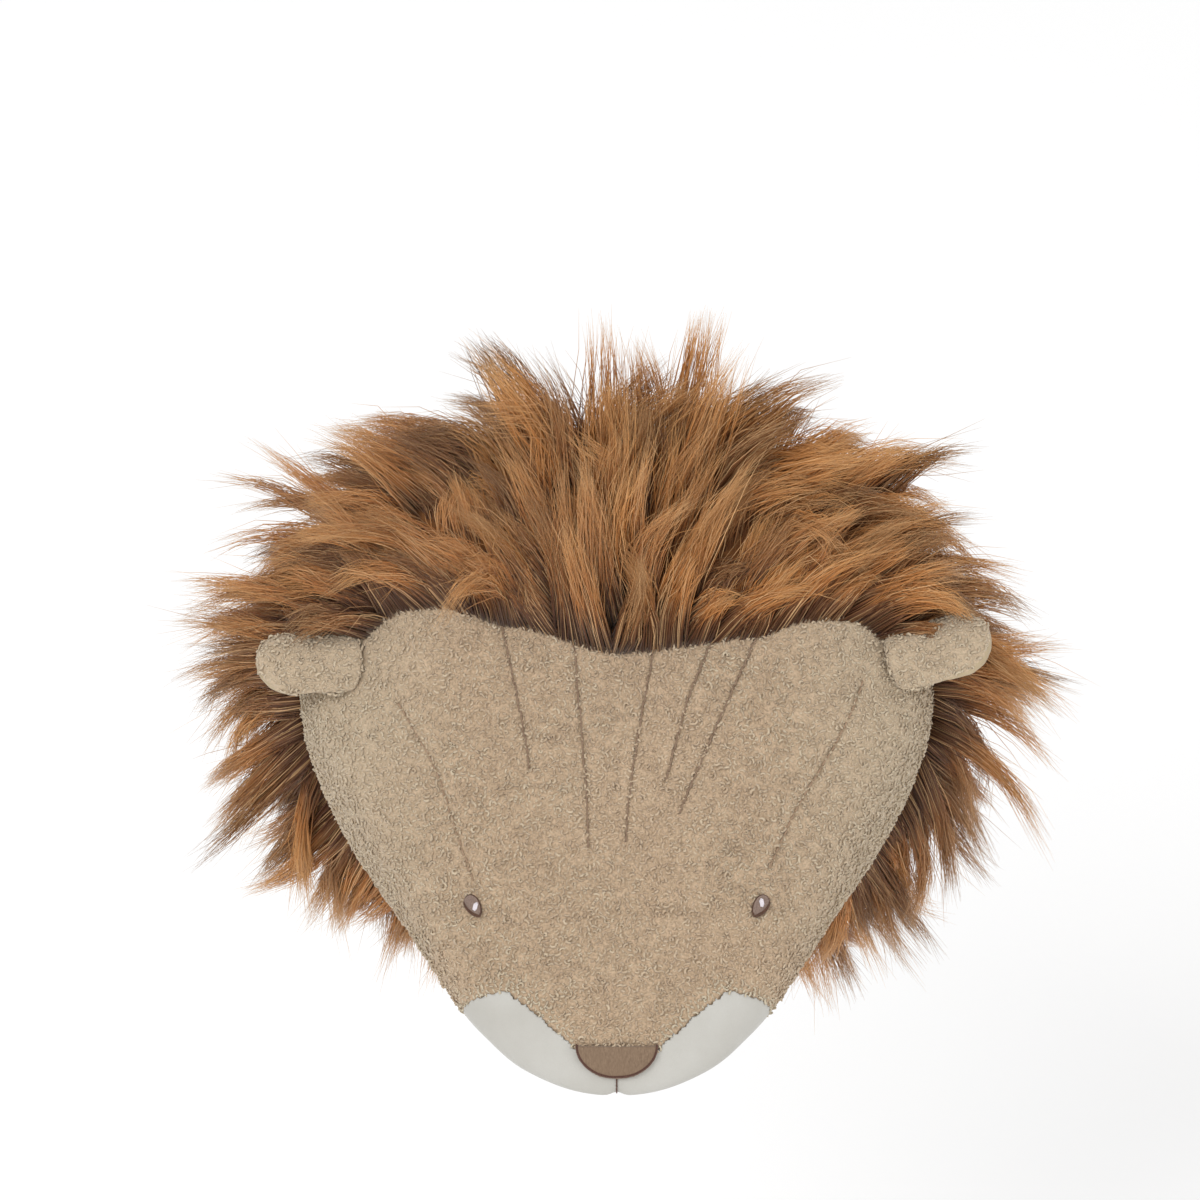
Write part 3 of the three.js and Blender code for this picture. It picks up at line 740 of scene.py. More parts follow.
# The curled pile of the face: short arcs of yarn, lying or standing, over a skin
def curlTree():
    tree, given = newTree("bouclePile", {
        "Curl Gap": ("Float", 0.0019),
        "Thread Radius": ("Float", 0.0004),
        "Curl Size": ("Float", 1.0),
        "Tilt": ("Float", 0.5),
        "Lift": ("Float", 0.0004),
        "Lines": ("Object", None),
        "Line Room": ("Float", 0.0007),
        "Pads": ("Object", None),
        "Pad Room": ("Float", 0.0009),
        "Seed": ("Int", 1),
        "Material": ("Material", None),
    })
    spread = node(tree, "GeometryNodeDistributePointsOnFaces", {
        "Mesh": given["Geometry"],
        "Distance Min": given["Curl Gap"],
        "Density Max": 1200000.0,
        "Density Factor": namedField(tree, "pile"),
        "Seed": given["Seed"],
    }, distribute_method="POISSON").outputs

    def nearTo(label, elements, room):
        forms = node(tree, "GeometryNodeObjectInfo", {"Object": given[label]}).outputs["Geometry"]
        gap = node(tree, "GeometryNodeProximity", {"Target": forms}, target_element=elements)
        inputs = {"A": gap.outputs["Distance"], "B": given[room]}
        return node(tree, "FunctionNodeCompare", inputs, operation="LESS_THAN").outputs[0]

    atLine, atPad = nearTo("Lines", "EDGES", "Line Room"), nearTo("Pads", "FACES", "Pad Room")
    inputs = {"Boolean": atLine, "Boolean_001": atPad}
    near = node(tree, "FunctionNodeBooleanMath", inputs, operation="OR").outputs[0]
    inputs = {"Geometry": spread["Points"], "Selection": near}
    points = node(tree, "GeometryNodeDeleteGeometry", inputs, domain="POINT").outputs[0]
    kinds = tree.nodes.new("GeometryNodeJoinGeometry")
    for radius, sweep, standing in curlKinds:
        curl = curlInstance(tree, given["Thread Radius"], radius * mm, math.radians(sweep), standing)
        tree.links.new(curl, kinds.inputs[0])
    least = times(tree, given["Tilt"], -1)
    low, high = vectorOf(tree, least, least), vectorOf(tree, given["Tilt"], given["Tilt"], math.tau)
    angles = randomField(tree, low, high, given["Seed"], "FLOAT_VECTOR")
    turns = node(tree, "FunctionNodeEulerToRotation", {"Euler": angles}).outputs[0]
    inputs = {"Rotation": spread["Rotation"], "Rotate By": turns}
    facing = node(tree, "FunctionNodeRotateRotation", inputs, rotation_space="LOCAL").outputs[0]
    points = keepField(tree, points, "facing", facing, "QUATERNION")
    curls = node(tree, "GeometryNodeInstanceOnPoints", {
        "Points": points,
        "Instance": kinds.outputs[0],
        "Pick Instance": True,
        "Instance Index": randomField(tree, 0, len(curlKinds) - 1, given["Seed"], "INT"),
        "Rotation": namedField(tree, "facing", "QUATERNION"),
        "Scale": times(tree, randomField(tree, 0.75, 1.2, given["Seed"]), given["Curl Size"]),
    }).outputs[0]
    rise = vectorOf(tree, z=times(tree, randomField(tree, -0.3, 1.0, 7), given["Lift"]))
    inputs = {"Instances": curls, "Translation": rise}
    curls = node(tree, "GeometryNodeTranslateInstances", inputs).outputs[0]
    curls = keepField(tree, curls, "curlTone", randomField(tree, 0.0, 1.0, 11), "FLOAT", "INSTANCE")
    closeTree(tree, curls, given["Material"])
    return tree


strandShape = {
    "rings": 5,
    "sides": 3,
    "length": (0.86, 1.05),  # as shares of the lock's reach
    "shorter": 0.46,  # how much less the strands have that stay out of the lock's tip
    "fluffLength": 0.8,  # the share of that which fluff gives back
    "fluffPull": 0.5,  # the share of the pull which fluff takes off
    "pull": (0.4, 0.6),
    "latePull": (0.3, 0.7),
    "wild": (0.4, 2.2),
    "wildPower": 14.0,  # the higher, the fewer strands stray far
    "rippleScale": 150.0,
    "rippleRun": 1.4,
    "taper": 0.9,
    # What a strand takes from its lock: its own name for it, the lock's name and the kind
    "fromLock": [
        ("lockStart", "startWay", "FLOAT_VECTOR"),
        ("lockTip", "tipWay", "FLOAT_VECTOR"),
        ("lockReach", "reach", "FLOAT"),
        ("lockTone", "tone", "FLOAT"),
        ("lockFluff", "fluff", "FLOAT"),
    ],
}


# The mane: strands that follow the nearest lock's path and draw together towards its tip
def strandTree():
    tree, given = newTree("maneStrands", {
        "Strand Density": ("Float", 500000.0),
        "Locks": ("Object", None),
        "Lock Blend": ("Float", 0.003),
        "Crown Mixing": ("Float", 1.0),
        "Strand Radius": ("Float", 0.0003),
        "Lock Pull": ("Float", 0.8),
        "Strand Stray": ("Float", 0.08),
        "Wave": ("Float", 0.008),
        "Wall Gap": ("Float", 0.003),
        "Seed": ("Int", 1),
        "Material": ("Material", None),
    })
    shape = strandShape
    locks = node(tree, "GeometryNodeObjectInfo", {"Object": given["Locks"]}).outputs["Geometry"]
    here = node(tree, "GeometryNodeInputPosition").outputs[0]

    def field(label, kind="FLOAT"):
        return namedField(tree, label, kind)

    def way(label):
        return namedField(tree, label, "FLOAT_VECTOR")

    def randomWay(seed, size):
        ways = randomField(tree, (-1, -1, -1), (1, 1, 1), seed, "FLOAT_VECTOR")
        return vectors(tree, "SCALE", ways, size)

    def fromLock(value, kind):
        inputs = {"Geometry": locks, "Value": value, "Index": field("lock", "INT")}
        return node(tree, "GeometryNodeSampleIndex", inputs, data_type=kind, domain="POINT").outputs[0]

    roots = node(tree, "GeometryNodeDistributePointsOnFaces", {
        "Mesh": given["Geometry"],
        "Density": times(tree, given["Strand Density"], field("thick")),
        "Seed": maths(tree, "ADD", given["Seed"], 50),
    }, distribute_method="RANDOM").outputs["Points"]
    blend = times(tree, linear(tree, 1.0, given["Crown Mixing"], field("mixing")), given["Lock Blend"])
    inputs = {"Geometry": locks, "Sample Position": vectors(tree, "ADD", here, randomWay(27, blend))}
    nearest = node(tree, "GeometryNodeSampleNearest", inputs, domain="POINT").outputs[0]
    roots = keepField(tree, roots, "lock", nearest, "INT")
    roots = keepField(tree, roots, "lockRoot", fromLock(here, "FLOAT_VECTOR"), "FLOAT_VECTOR")
    for label, source, kind in shape["fromLock"]:
        roots = keepField(tree, roots, label, fromLock(field(source, kind), kind), kind)
    offset = vectors(tree, "SUBTRACT", here, way("lockRoot"))
    roots = keepField(tree, roots, "aside", offset, "FLOAT_VECTOR")
    roots = keepField(tree, roots, "strandTone", randomField(tree, 0.0, 1.0, 31))
    # Long strands draw together into a lock's tip, and shorter ones fill the room between the locks
    roots = keepField(tree, roots, "gathered", randomField(tree, 0.0, 1.0, 39))
    separate = restOf(tree, times(tree, field("lockFluff"), shape["fluffLength"]))
    shorter = times(tree, restOf(tree, field("gathered")), times(tree, separate, shape["shorter"]))
    longest = maths(tree, "SUBTRACT", randomField(tree, *shape["length"], 33), shorter)
    roots = keepField(tree, roots, "strandLong", longest)
    wild = maths(tree, "POWER", randomField(tree, 0.0, 1.0, 37), shape["wildPower"])
    strays = randomWay(35, linear(tree, *shape["wild"], wild))
    roots = keepField(tree, roots, "strandStray", strays, "FLOAT_VECTOR")
    number = node(tree, "GeometryNodeInputIndex").outputs[0]
    roots = keepField(tree, roots, "strandNumber", number, "INT")
    inputs = {"Geometry": roots, "Amount": shape["rings"]}
    many = node(tree, "GeometryNodeDuplicateElements", inputs, domain="POINT").outputs
    share = maths(tree, "DIVIDE", many["Duplicate Index"], float(shape["rings"] - 1))
    points = keepField(tree, many["Geometry"], "along", share)
    along = field("along")
    # The path bends from the lock's first way to its last one
    run = times(tree, along, field("strandLong"))
    half = times(tree, run, run, 0.5)
    early = vectors(tree, "SCALE", way("lockStart"), maths(tree, "SUBTRACT", run, half))
    after = vectors(tree, "SCALE", way("lockTip"), half)
    path = vectors(tree, "SCALE", vectors(tree, "ADD", early, after), field("lockReach"))
    path = vectors(tree, "ADD", path, way("lockRoot"))
    # Each strand starts at its own root and is pulled in towards the path
    separate = restOf(tree, times(tree, field("lockFluff"), shape["fluffPull"]))
    drawn = linear(tree, *shape["pull"], maths(tree, "SQRT", field("gathered")))
    pull = times(tree, given["Lock Pull"], separate, drawn)
    late = times(tree, along, linear(tree, *shape["latePull"], along))
    loose = restOf(tree, times(tree, pull, late))
    path = vectors(tree, "ADD", path, vectors(tree, "SCALE", way("aside"), loose))
    squared = times(tree, along, along)
    flyaway = times(tree, squared, given["Strand Stray"], field("lockReach"))
    path = vectors(tree, "ADD", path, vectors(tree, "SCALE", way("strandStray"), flyaway))
    spot = vectors(tree, "SCALE", here, shape["rippleScale"])
    drift = vectorOf(tree, z=times(tree, along, shape["rippleRun"]))
    inputs = {"Vector": vectors(tree, "ADD", spot, drift), "Scale": 1.0, "Detail": 1.0}
    ripple = node(tree, "ShaderNodeTexNoise", inputs).outputs["Color"]
    ripple = vectors(tree, "SUBTRACT", ripple, (0.5, 0.5, 0.5))
    path = vectors(tree, "ADD", path, vectors(tree, "SCALE", ripple, times(tree, along, given["Wave"])))
    parts = node(tree, "ShaderNodeSeparateXYZ", {"Vector": path}).outputs
    clear = maths(tree, "MINIMUM", parts["Y"], times(tree, given["Wall Gap"], -1))
    path = vectorOf(tree, parts["X"], clear, parts["Z"])
    points = node(tree, "GeometryNodeSetPosition", {"Geometry": points, "Position": path}).outputs[0]
    inputs = {"Points": points, "Curve Group ID": field("strandNumber", "INT"), "Weight": along}
    curves = node(tree, "GeometryNodePointsToCurves", inputs).outputs[0]
    taper = restOf(tree, times(tree, squared, shape["taper"]))
    girth = times(tree, taper, given["Strand Radius"])
    closeTree(tree, tubeOn(tree, curves, shape["sides"], 1.0, girth), given["Material"])
    return tree


threadNodes, curlNodes, strandNodes = threadTree(), curlTree(), strandTree()
print("node trees ready")


def hold(piece, slot, *stoodFor, fill=None):
    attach(piece, "root")
    if stoodFor:
        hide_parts(*stoodFor)


def paint(piece, finish):
    piece.data.materials.clear()
    piece.data.materials.append(finishes[finish])
    for face in piece.data.polygons:
        face.use_smooth = True


# Lays a skin's outer side on the smooth form, sunk by a little, and presses grooves into it
def layOnHead(piece, sink, reach, grooves):
    points = pointsOf(piece.data)
    outer = np.zeros(len(points), bool)
    for i, point in enumerate(points):
        place, normal, _, _ = headTree.find_nearest(Vector(point), reach)
        if place is not None:
            inside = (Vector(point) - place).dot(normal) < 0
            outer[i] = not (inside and normal.y > 0.5)
            points[i] = place - normal * sink
    forms = [headTree.find_nearest(Vector(p))[1] for p in points]
    normals = np.array([tuple(n) for n in forms])
    for line, depth, spread in grooves:
        near = outer & (gapToLine(points, line) < spread * 3)
        gap = gapToLine(points[near], line)
        points[near] -= normals[near] * (depth * np.exp(-((gap / spread) ** 2)))[:, None]
    setPoints(piece.data, points)
    return outer


faceSettings = {
    "voxel": 0.0021,
    "rounds": 5,
    "sink": 0.0005,
    "nearForm": 0.0014,
    "lineDepth": 0.0011,
    "lineSpread": 0.0018,
    "creaseDepth": 0.0012,
    "creaseSpread": 0.0035,
    "startedEarly": 5,  # millimetres
    "paleFrom": 0.055,
    "paleTo": 0.125,
    "pastHairline": 0.0025,
    "besideEars": 0.085,
    "earReach": 0.01,
    "earGap": 0.0012,
}


# Starts a line a little earlier, under the fur
def startedEarly(line, early):
    first, second = np.array(line[0]), np.array(line[1])
    return [tuple(first + (first - second) / np.linalg.norm(first - second) * early)] + line


faintLines = ("farLeft", "farRight")
browLines = {}
for label, line in stitchLines.items():
    if label not in faintLines:
        line = startedEarly(line, faceSettings["startedEarly"])
    browLines[label] = laidLine(line)
creases = [laidLine(line) for line in creaseLines.values()]
earTrees = [treeOf(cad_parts["ear_" + side].data) for side in ("left", "right")]


# Which points lie under an ear or nearer to it than a gap
def atEars(points, gap):
    beside = np.abs(points[:, 0]) > faceSettings["besideEars"]
    found = np.zeros(len(points), bool)
    for earTree in earTrees:
        found[beside] |= nearestGaps(points[beside], earTree, faceSettings["earReach"]) < gap
    return found


def palenessAt(points):
    return smoothStep(np.abs(points[:, 0]), faceSettings["paleFrom"], faceSettings["paleTo"])


face = softSkin("face_skin", "face", faceSettings["voxel"], faceSettings["rounds"])
grooves = [(line, faceSettings["lineDepth"], faceSettings["lineSpread"]) for line in browLines.values()]
grooves += [(line, faceSettings["creaseDepth"], faceSettings["creaseSpread"]) for line in creases]
faceOuter = layOnHead(face, faceSettings["sink"], faceSettings["nearForm"], grooves)
paint(face, "shadedGround")

facePoints = pointsOf(face.data)
behind = -facePoints[:, 1] < hairlineAt(angleOf(facePoints)) - faceSettings["pastHairline"]
underEar = atEars(facePoints, faceSettings["earGap"])
addField(face.data, "pile", (faceOuter & ~behind & ~underEar).astype(float))
addField(face.data, "paleness", palenessAt(facePoints))
hold(face, "face_fabric", "face", fill=0.85)
print("face skin:", len(face.data.polygons), "faces")

muzzleSettings = {
    "voxel": 0.0011,
    "rounds": 4,
    "sink": 0.0001,
    "nearForm": 0.0012,
    "lap": 0.0013,
    "lapFrom": 0.0025,
    "lapSink": 0.0003,
    "noseFrom": -0.222,
    "noseSide": 0.001,
    "step": 0.0002,
}
muzzle = softSkin("muzzle_skin", "muzzle", muzzleSettings["voxel"], muzzleSettings["rounds"])
muzzleOuter = layOnHead(muzzle, muzzleSettings["sink"], muzzleSettings["nearForm"], [])


# Draws the muzzle panel's edge out under the pile, so that no gap shows along the seam
def lapEdge(piece, outer):
    settings = muzzleSettings
    points = pointsOf(piece.data)
    noseHalf = headShape["noseWidth"] / 2 + settings["noseSide"]
    nose = (np.abs(points[:, 0]) < noseHalf) & (points[:, 1] < settings["noseFrom"])
    near = outer & (muzzleInset(points) < settings["lapFrom"]) & ~nose
    shifts = np.eye(3) * settings["step"]
    slopes = [muzzleInset(points[near] + shift) - muzzleInset(points[near] - shift) for shift in shifts]
    away = -np.stack(slopes, -1)
    normals = np.array([tuple(headTree.find_nearest(Vector(p))[1]) for p in points[near]])
    away -= normals * (away * normals).sum(-1, keepdims=True)
    away /= np.linalg.norm(away, axis=-1, keepdims=True) + 1e-9
    share = 1 - smoothStep(muzzleInset(points[near]), 0.0, settings["lapFrom"])
    moved = points[near] + away * (settings["lap"] * share)[:, None]
    for i, index in enumerate(np.flatnonzero(near)):
        place, normal, _, _ = headTree.find_nearest(Vector(moved[i]))
        points[index] = place - normal * (settings["sink"] + settings["lapSink"] * float(share[i]))
    setPoints(piece.data, points)


lapEdge(muzzle, muzzleOuter)
paint(muzzle, "muzzle")
hold(muzzle, "muzzle_fabric", "muzzle", fill=0.9)
print("muzzle skin:", len(muzzle.data.polygons), "faces")

# Voxel size and rounds of smoothing
padSettings = {"nose": (0.0006, 4), "eye": (0.0004, 3)}
nosePad = softSkin("nose_pad", "nose", *padSettings["nose"])
paint(nosePad, "nose")
hold(nosePad, "nose_fabric", "nose")

earSettings = {
    "earSkin": (0.0012, 8),  # voxel size and rounds of smoothing
    "liningSkin": (0.0009, 6),
    "blunt": 0.4,  # how much wider each ear's outer part is drawn
    "bluntFrom": 0.45,
    "liningSide": (0.5, -0.15, -0.85),  # the way that the smooth lining faces, across away from the head
    "liningFrom": {"left": 0.3, "right": 0.02},
    "liningInner": 0.9,
    "liningEnds": (0.3, 0.62),
    "foldDepth": {"left": 0.0, "right": 0.0016},
    "foldAt": 0.36,
    "foldSpread": 0.07,
    "foldSlant": 0.08,
    "foldHeight": 0.009,
    "foldEnds": (-0.6, 0.8),
    "pileReach": 0.004,
    "offLining": 0.0009,
    "offHead": 0.001,
    "paleness": 0.9,
}
ears, linings = {}, {}


# An ear's length as an axis, and how far along it each point lies, from 0 at the head to 1 at the tip
def earAxis(points, side):
    centre = points.mean(0)
    way = np.linalg.svd(points - centre, full_matrices=False)[2][0]
    way = way * np.sign(way[0] * side)
    runs = (points - centre) @ way
    return centre, way, runs.min(), np.ptp(runs)


def alongEar(points, axis):
    centre, way, first, length = axis
    return ((points - centre) @ way - first) / length


def bluntEar(points, axis):
    centre, way, first, length = axis
    runs = (points - centre) @ way
    offset = points - centre - runs[:, None] * way
    wider = 1 + earSettings["blunt"] * smoothStep(alongEar(points, axis), earSettings["bluntFrom"], 1.0)
    return centre + runs[:, None] * way + offset * wider[:, None]


def foldedEar(points, normals, axis, depth):
    above = (points[:, 2] - axis[0][2]) / earSettings["foldHeight"]
    past = alongEar(points, axis) - earSettings["foldAt"] - earSettings["foldSlant"] * above
    fold = np.exp(-((past / earSettings["foldSpread"]) ** 2))
    return points - normals * (depth * fold * smoothStep(above, *earSettings["foldEnds"]))[:, None]


def normalsOf(mesh):
    values = np.empty(len(mesh.vertices) * 3, np.float32)
    mesh.vertex_normals.foreach_get("vector", values)
    return values.reshape(-1, 3).astype(float)


# Marks where an ear carries pile, and gives its turned-up side the smooth lining
def dressEar(ear, lining, axis, sign, side):
    points = pointsOf(ear.data)
    facing = normalsOf(ear.data) @ (np.array(earSettings["liningSide"]) * (sign, 1, 1))
    inner = 1 - smoothStep(alongEar(points, axis), *earSettings["liningEnds"])
    lined = facing > earSettings["liningFrom"][side] + earSettings["liningInner"] * inner
    free = nearestGaps(points, treeOf(lining.data), earSettings["pileReach"]) > earSettings["offLining"]
    free &= nearestGaps(points, headTree, earSettings["pileReach"]) > earSettings["offHead"]
    addField(ear.data, "pile", (free & ~lined).astype(float))
    addField(ear.data, "paleness", np.full(len(points), earSettings["paleness"]))
    ear.data.materials.append(finishes["lining"])
    for polygon in ear.data.polygons:
        polygon.material_index = int(lined[list(polygon.vertices)].mean() > 0.5)


for sign, side in ((-1, "left"), (1, "right")):
    ear = softSkin("ear_" + side + "_skin", "ear_" + side, *earSettings["earSkin"])
    liningName = "ear_lining_" + side
    lining = softSkin(liningName + "_skin", liningName, *earSettings["liningSkin"])
    axis = earAxis(pointsOf(ear.data), sign)
    for piece in (ear, lining):
        setPoints(piece.data, bluntEar(pointsOf(piece.data), axis))
    folded = foldedEar(pointsOf(ear.data), normalsOf(ear.data), axis, earSettings["foldDepth"][side])
    setPoints(ear.data, folded)
    paint(ear, "shadedGround")
    paint(lining, "lining")
    hold(ear, "face_fabric", "ear_" + side, fill=0.6)
    hold(lining, "lining_fabric", liningName, fill=0.4)
    dressEar(ear, lining, axis, sign, side)
    ears[side], linings[side] = ear, lining

eyes = {}
for side in ("left", "right"):
    eyes[side] = softSkin("eye_" + side + "_pad", "eye_" + side, *padSettings["eye"])
    paint(eyes[side], "eyeFill")
    hold(eyes[side], "eye_thread", "eye_" + side)
print("ears, nose and eye pads ready")


# The curled pile, grown zone by zone so that no piece is too heavy
curlSettings = {
    "Curl Gap": 0.00172,
    "Thread Radius": 0.0004,
    "Curl Size": 1.3,
    "Tilt": 0.55,
    "Lift": 0.0006,
    "Line Room": 0.0006,
    "Pad Room": 0.0007,
    "Material": finishes["curls"],
}


def edgeMesh(name, lines):
    points, edges = [], []
    for line in lines:
        edges += [(len(points) + i, len(points) + i + 1) for i in range(len(line) - 1)]
        points += [tuple(p) for p in line]
    mesh = bpy.data.meshes.new(name)
    mesh.from_pydata(points, edges, [])
    return linked(name, mesh)


def joinedPads(name, pieces):
    made = bmesh.new()
    for piece in pieces:
        made.from_mesh(piece.data)
    mesh = bpy.data.meshes.new(name)
    made.to_mesh(mesh)
    made.free()
    return linked(name, mesh)


# The part of a piece's surface that carries pile
def zoneMesh(piece, name):
    mesh = piece.data.copy()
    pile = np.empty(len(mesh.vertices), np.float32)
    mesh.attributes["pile"].data.foreach_get("value", pile)
    made = bmesh.new()
    made.from_mesh(mesh)
    dead = [f for f in made.faces if not any(pile[v.index] > 0 for v in f.verts)]
    bmesh.ops.delete(made, geom=dead, context="FACES")
    made.to_mesh(mesh)
    made.free()
    mesh.name = name
    return mesh


# The face's surface as an even grid, with the lines pressed in and the edges of the pile cut to its seams
groundSettings = {
    "rows": 220,
    "columns": 420,
    "rear": 0.06,
    "front": 0.2285,
    "overSeam": 0.0007,
    "overNose": 0.003,
    "noseFrom": -0.215,
    "noseLift": 0.0013,
    "behindHairline": 0.001,
    "earGap": 0.0009,
    "paleBand": 0.007,  # along the muzzle's seam
    "padsFrom": -0.2,
    "padShift": (0, -0.0014, -0.0032),  # lets the pile hang over the nose's top edge
    "seed": 3,
}


def pileGround():
    forward = np.linspace(groundSettings["rear"], groundSettings["front"], groundSettings["rows"])
    turns = np.linspace(0, 2 * math.pi, groundSettings["columns"], endpoint=False)
    along, turn = np.meshgrid(alongAt(forward), turns, indexing="ij")
    points, normals = headSurface(along, turn)
    shape = points.shape[:2]
    points, normals = points.reshape(-1, 3), normals.reshape(-1, 3)
    onNose = np.abs(points[:, 0]) < headShape["noseWidth"] / 2
    overNose = onNose & (points[:, 1] < groundSettings["noseFrom"])
    inset = muzzleInset(points)
    kept = inset < np.where(overNose, groundSettings["overNose"], groundSettings["overSeam"])
    kept &= -points[:, 1] > hairlineAt(angleOf(points)) - groundSettings["behindHairline"]
    kept &= ~atEars(points, groundSettings["earGap"])
    depth = np.full(len(points), faceSettings["sink"])
    for line, deep, spread in grooves:
        around = np.linalg.norm(points - line.mean(0), axis=1)
        near = np.flatnonzero(around < np.ptp(line, 0).max() + 3 * spread)
        depth[near] += deep * np.exp(-((gapToLine(points[near], line) / spread) ** 2))
    depth[overNose & (inset > 0)] -= groundSettings["noseLift"]
    points = points - normals * depth[:, None]
    return points, kept, shape


groundPoints, groundKept, groundShape = pileGround()
seamPaleness = 2 * smoothStep(muzzleInset(groundPoints), -groundSettings["paleBand"], 0.0)
seamPaleness = seamPaleness * (np.abs(groundPoints[:, 0]) > headShape["noseWidth"] / 2)
groundPaleness = np.maximum(palenessAt(groundPoints), seamPaleness)


def groundZone(name, inside):
    chosen = groundKept & inside(groundPoints)
    faces = [corners for corners in gridFaces(*groundShape) if chosen[list(corners)].all()]
    used = np.unique(np.array(faces))
    place = np.full(len(groundPoints), -1)
    place[used] = np.arange(len(used))
    mesh = meshFrom(name, groundPoints[used], [tuple(place[list(face)]) for face in faces])
    addField(mesh, "pile", np.ones(len(used)))
    addField(mesh, "paleness", groundPaleness[used])
    return mesh


keepOffLines = edgeMesh("keep_off_lines", list(browLines.values()))
keepOffPads = joinedPads("keep_off_pads", [nosePad, eyes["left"], eyes["right"]])
padPoints = pointsOf(keepOffPads.data)
padPoints[padPoints[:, 1] < groundSettings["padsFrom"]] += groundSettings["padShift"]
setPoints(keepOffPads.data, padPoints)
zoneSettings = {"browLevel": 0.03, "browHalf": 0.075, "sideFrom": 0.045, "overlap": 0.0015}


def onBrow(points):
    return (points[:, 2] > zoneSettings["browLevel"]) & (np.abs(points[:, 0]) < zoneSettings["browHalf"])


def onMiddle(points):
    across = np.abs(points[:, 0]) <= zoneSettings["sideFrom"] + zoneSettings["overlap"]
    return across & (points[:, 2] <= zoneSettings["browLevel"] + zoneSettings["overlap"])


def growPile(name, source, pads, seed):
    values = dict(curlSettings, Lines=keepOffLines, Pads=pads, Seed=seed)
    pile = grown(name, source, curlNodes, values, ("curlTone", "paleness"))
    hold(pile, "face_fabric")
    print(name, len(pile.data.polygons), "faces")


faceZones = {
    "brow": onBrow,
    "left": lambda points: (points[:, 0] < -zoneSettings["sideFrom"]) & ~onBrow(points),
    "middle": onMiddle,
    "right": lambda points: (points[:, 0] > zoneSettings["sideFrom"]) & ~onBrow(points),
}
curlSeed = groundSettings["seed"]
for zone, inside in faceZones.items():
    growPile("pile_" + zone, groundZone("pile_" + zone, inside), keepOffPads, curlSeed)
    curlSeed += 1
for side in ("left", "right"):
    name = "pile_ear_" + side
    growPile(name, zoneMesh(ears[side], name), linings[side], curlSeed)
    curlSeed += 1
for spare in (keepOffLines, keepOffPads):
    bpy.data.objects.remove(spare)


# The mane's undercoat: short fur over the back of the head, closed at both ends; its dark brown is painted
# shade deep in the mane
underSettings = {
    "columns": 150,
    "rows": 26,
    "rear": 0.0092,
    "thickness": 0.010,
    "riseOver": 0.4,
    "sunk": 0.0006,
    "wallGap": 0.0085,
    "frontPole": 0.068,
}


def closedShell(name, rings, frontPole, rearPole):
    columns = rings.shape[1]
    points = [tuple(p) for p in rings.reshape(-1, 3)] + [frontPole, rearPole]
    faces = gridFaces(len(rings), columns, downFirst=True)
    last = (len(rings) - 1) * columns
    for j in range(columns):
        k = (j + 1) % columns
        faces.append((len(points) - 2, j, k))
        faces.append((len(points) - 1, last + k, last + j))
    mesh = meshFrom(name, points, faces)
    made = bmesh.new()
    made.from_mesh(mesh)
    bmesh.ops.recalc_face_normals(made, faces=made.faces)
    made.to_mesh(mesh)
    made.free()
    return mesh


underGrid = [underSettings[key] for key in ("columns", "rows", "rear")]
underPoints, underNormals, underShares = scalpGrid(*underGrid)
rise = underSettings["thickness"] * smoothStep(underShares, 0.0, underSettings["riseOver"])
underRings = underPoints + underNormals * (rise - underSettings["sunk"])[:, None, None]
underRings[..., 1] = np.minimum(underRings[..., 1], -underSettings["wallGap"])
underPoles = [(0, -underSettings[key], 0) for key in ("frontPole", "wallGap")]
undercoat = linked("mane_undercoat", closedShell("mane_undercoat", underRings, *underPoles))
paint(undercoat, "under")
hold(undercoat, "mane_fur", "mane", fill=0.8)

# The mane's strands. Ways are shares of outwards, off the skin and back to the wall
maneSettings = {
    "columns": 216,
    "rows": 20,
    "rear": 0.012,
    "zones": 10,
    "ahead": 0.0015,  # how far the first strands stand in front of the hairline
    "lean": {"all": 0.3, "top": 0.7, "front": 0.3, "frontTo": 0.5},
    "thickAtHairline": 2.0,
    "thickBehind": 0.85,
    "thickTo": 0.3,
    "lockGap": 0.0092,
    "lockTries": 7000,
    "lockSeed": 11,
    "reach": {"under": 0.064, "left": 0.085, "right": 0.08, "low": 0.013, "crown": 0.074},
    "reachSpread": (0.76, 1.08),
    "startOff": 0.75,
    "startOut": 0.35,
    "startBack": (0.85, 0.12),  # at the hairline and at the wall
    "tipOff": 0.12,
    "tipOut": 0.9,
    "tipBack": (1.0, 0.0),
    "startDroop": 0.42,
    "tipDroop": 1.9,
    "lowDroop": 3.6,
    "lowStartDroop": {-1: 1.2, 1: 1.4},
    "parting": 0.2,
    "partingTo": 0.45,
    "overEar": {"from": 14, "to": 38, "share": 0.22, "most": 0.6},
    "lowTuft": {"turn": -50, "spread": 7, "longer": 0.55, "side": 1},
    "startStray": 0.14,
    "tipStray": 0.42,
    "Strand Density": 930000.0,
    "Lock Blend": 0.0026,
    "Crown Mixing": 2.4,
    "Strand Radius": 0.00024,
    "Lock Pull": 0.97,
    "Strand Stray": 0.08,
    "Wave": 0.02,
    "Wall Gap": 0.003,
}


def unit(values):
    return values / (np.linalg.norm(values, axis=-1, keepdims=True) + 1e-12)


# How far a lock belongs to the fur that falls over an ear's top edge, from 0 to 1
def overEar(points, share):
    settings = maneSettings["overEar"]
    turn = np.degrees(np.arctan2(points[:, 2], np.abs(points[:, 0])))
    middle, spread = (settings["from"] + settings["to"]) / 2, (settings["to"] - settings["from"]) / 2
    level = np.exp(-(((turn - middle) / spread) ** 4))
    return settings["most"] * level * (1 - smoothStep(share, 0.0, settings["share"]))


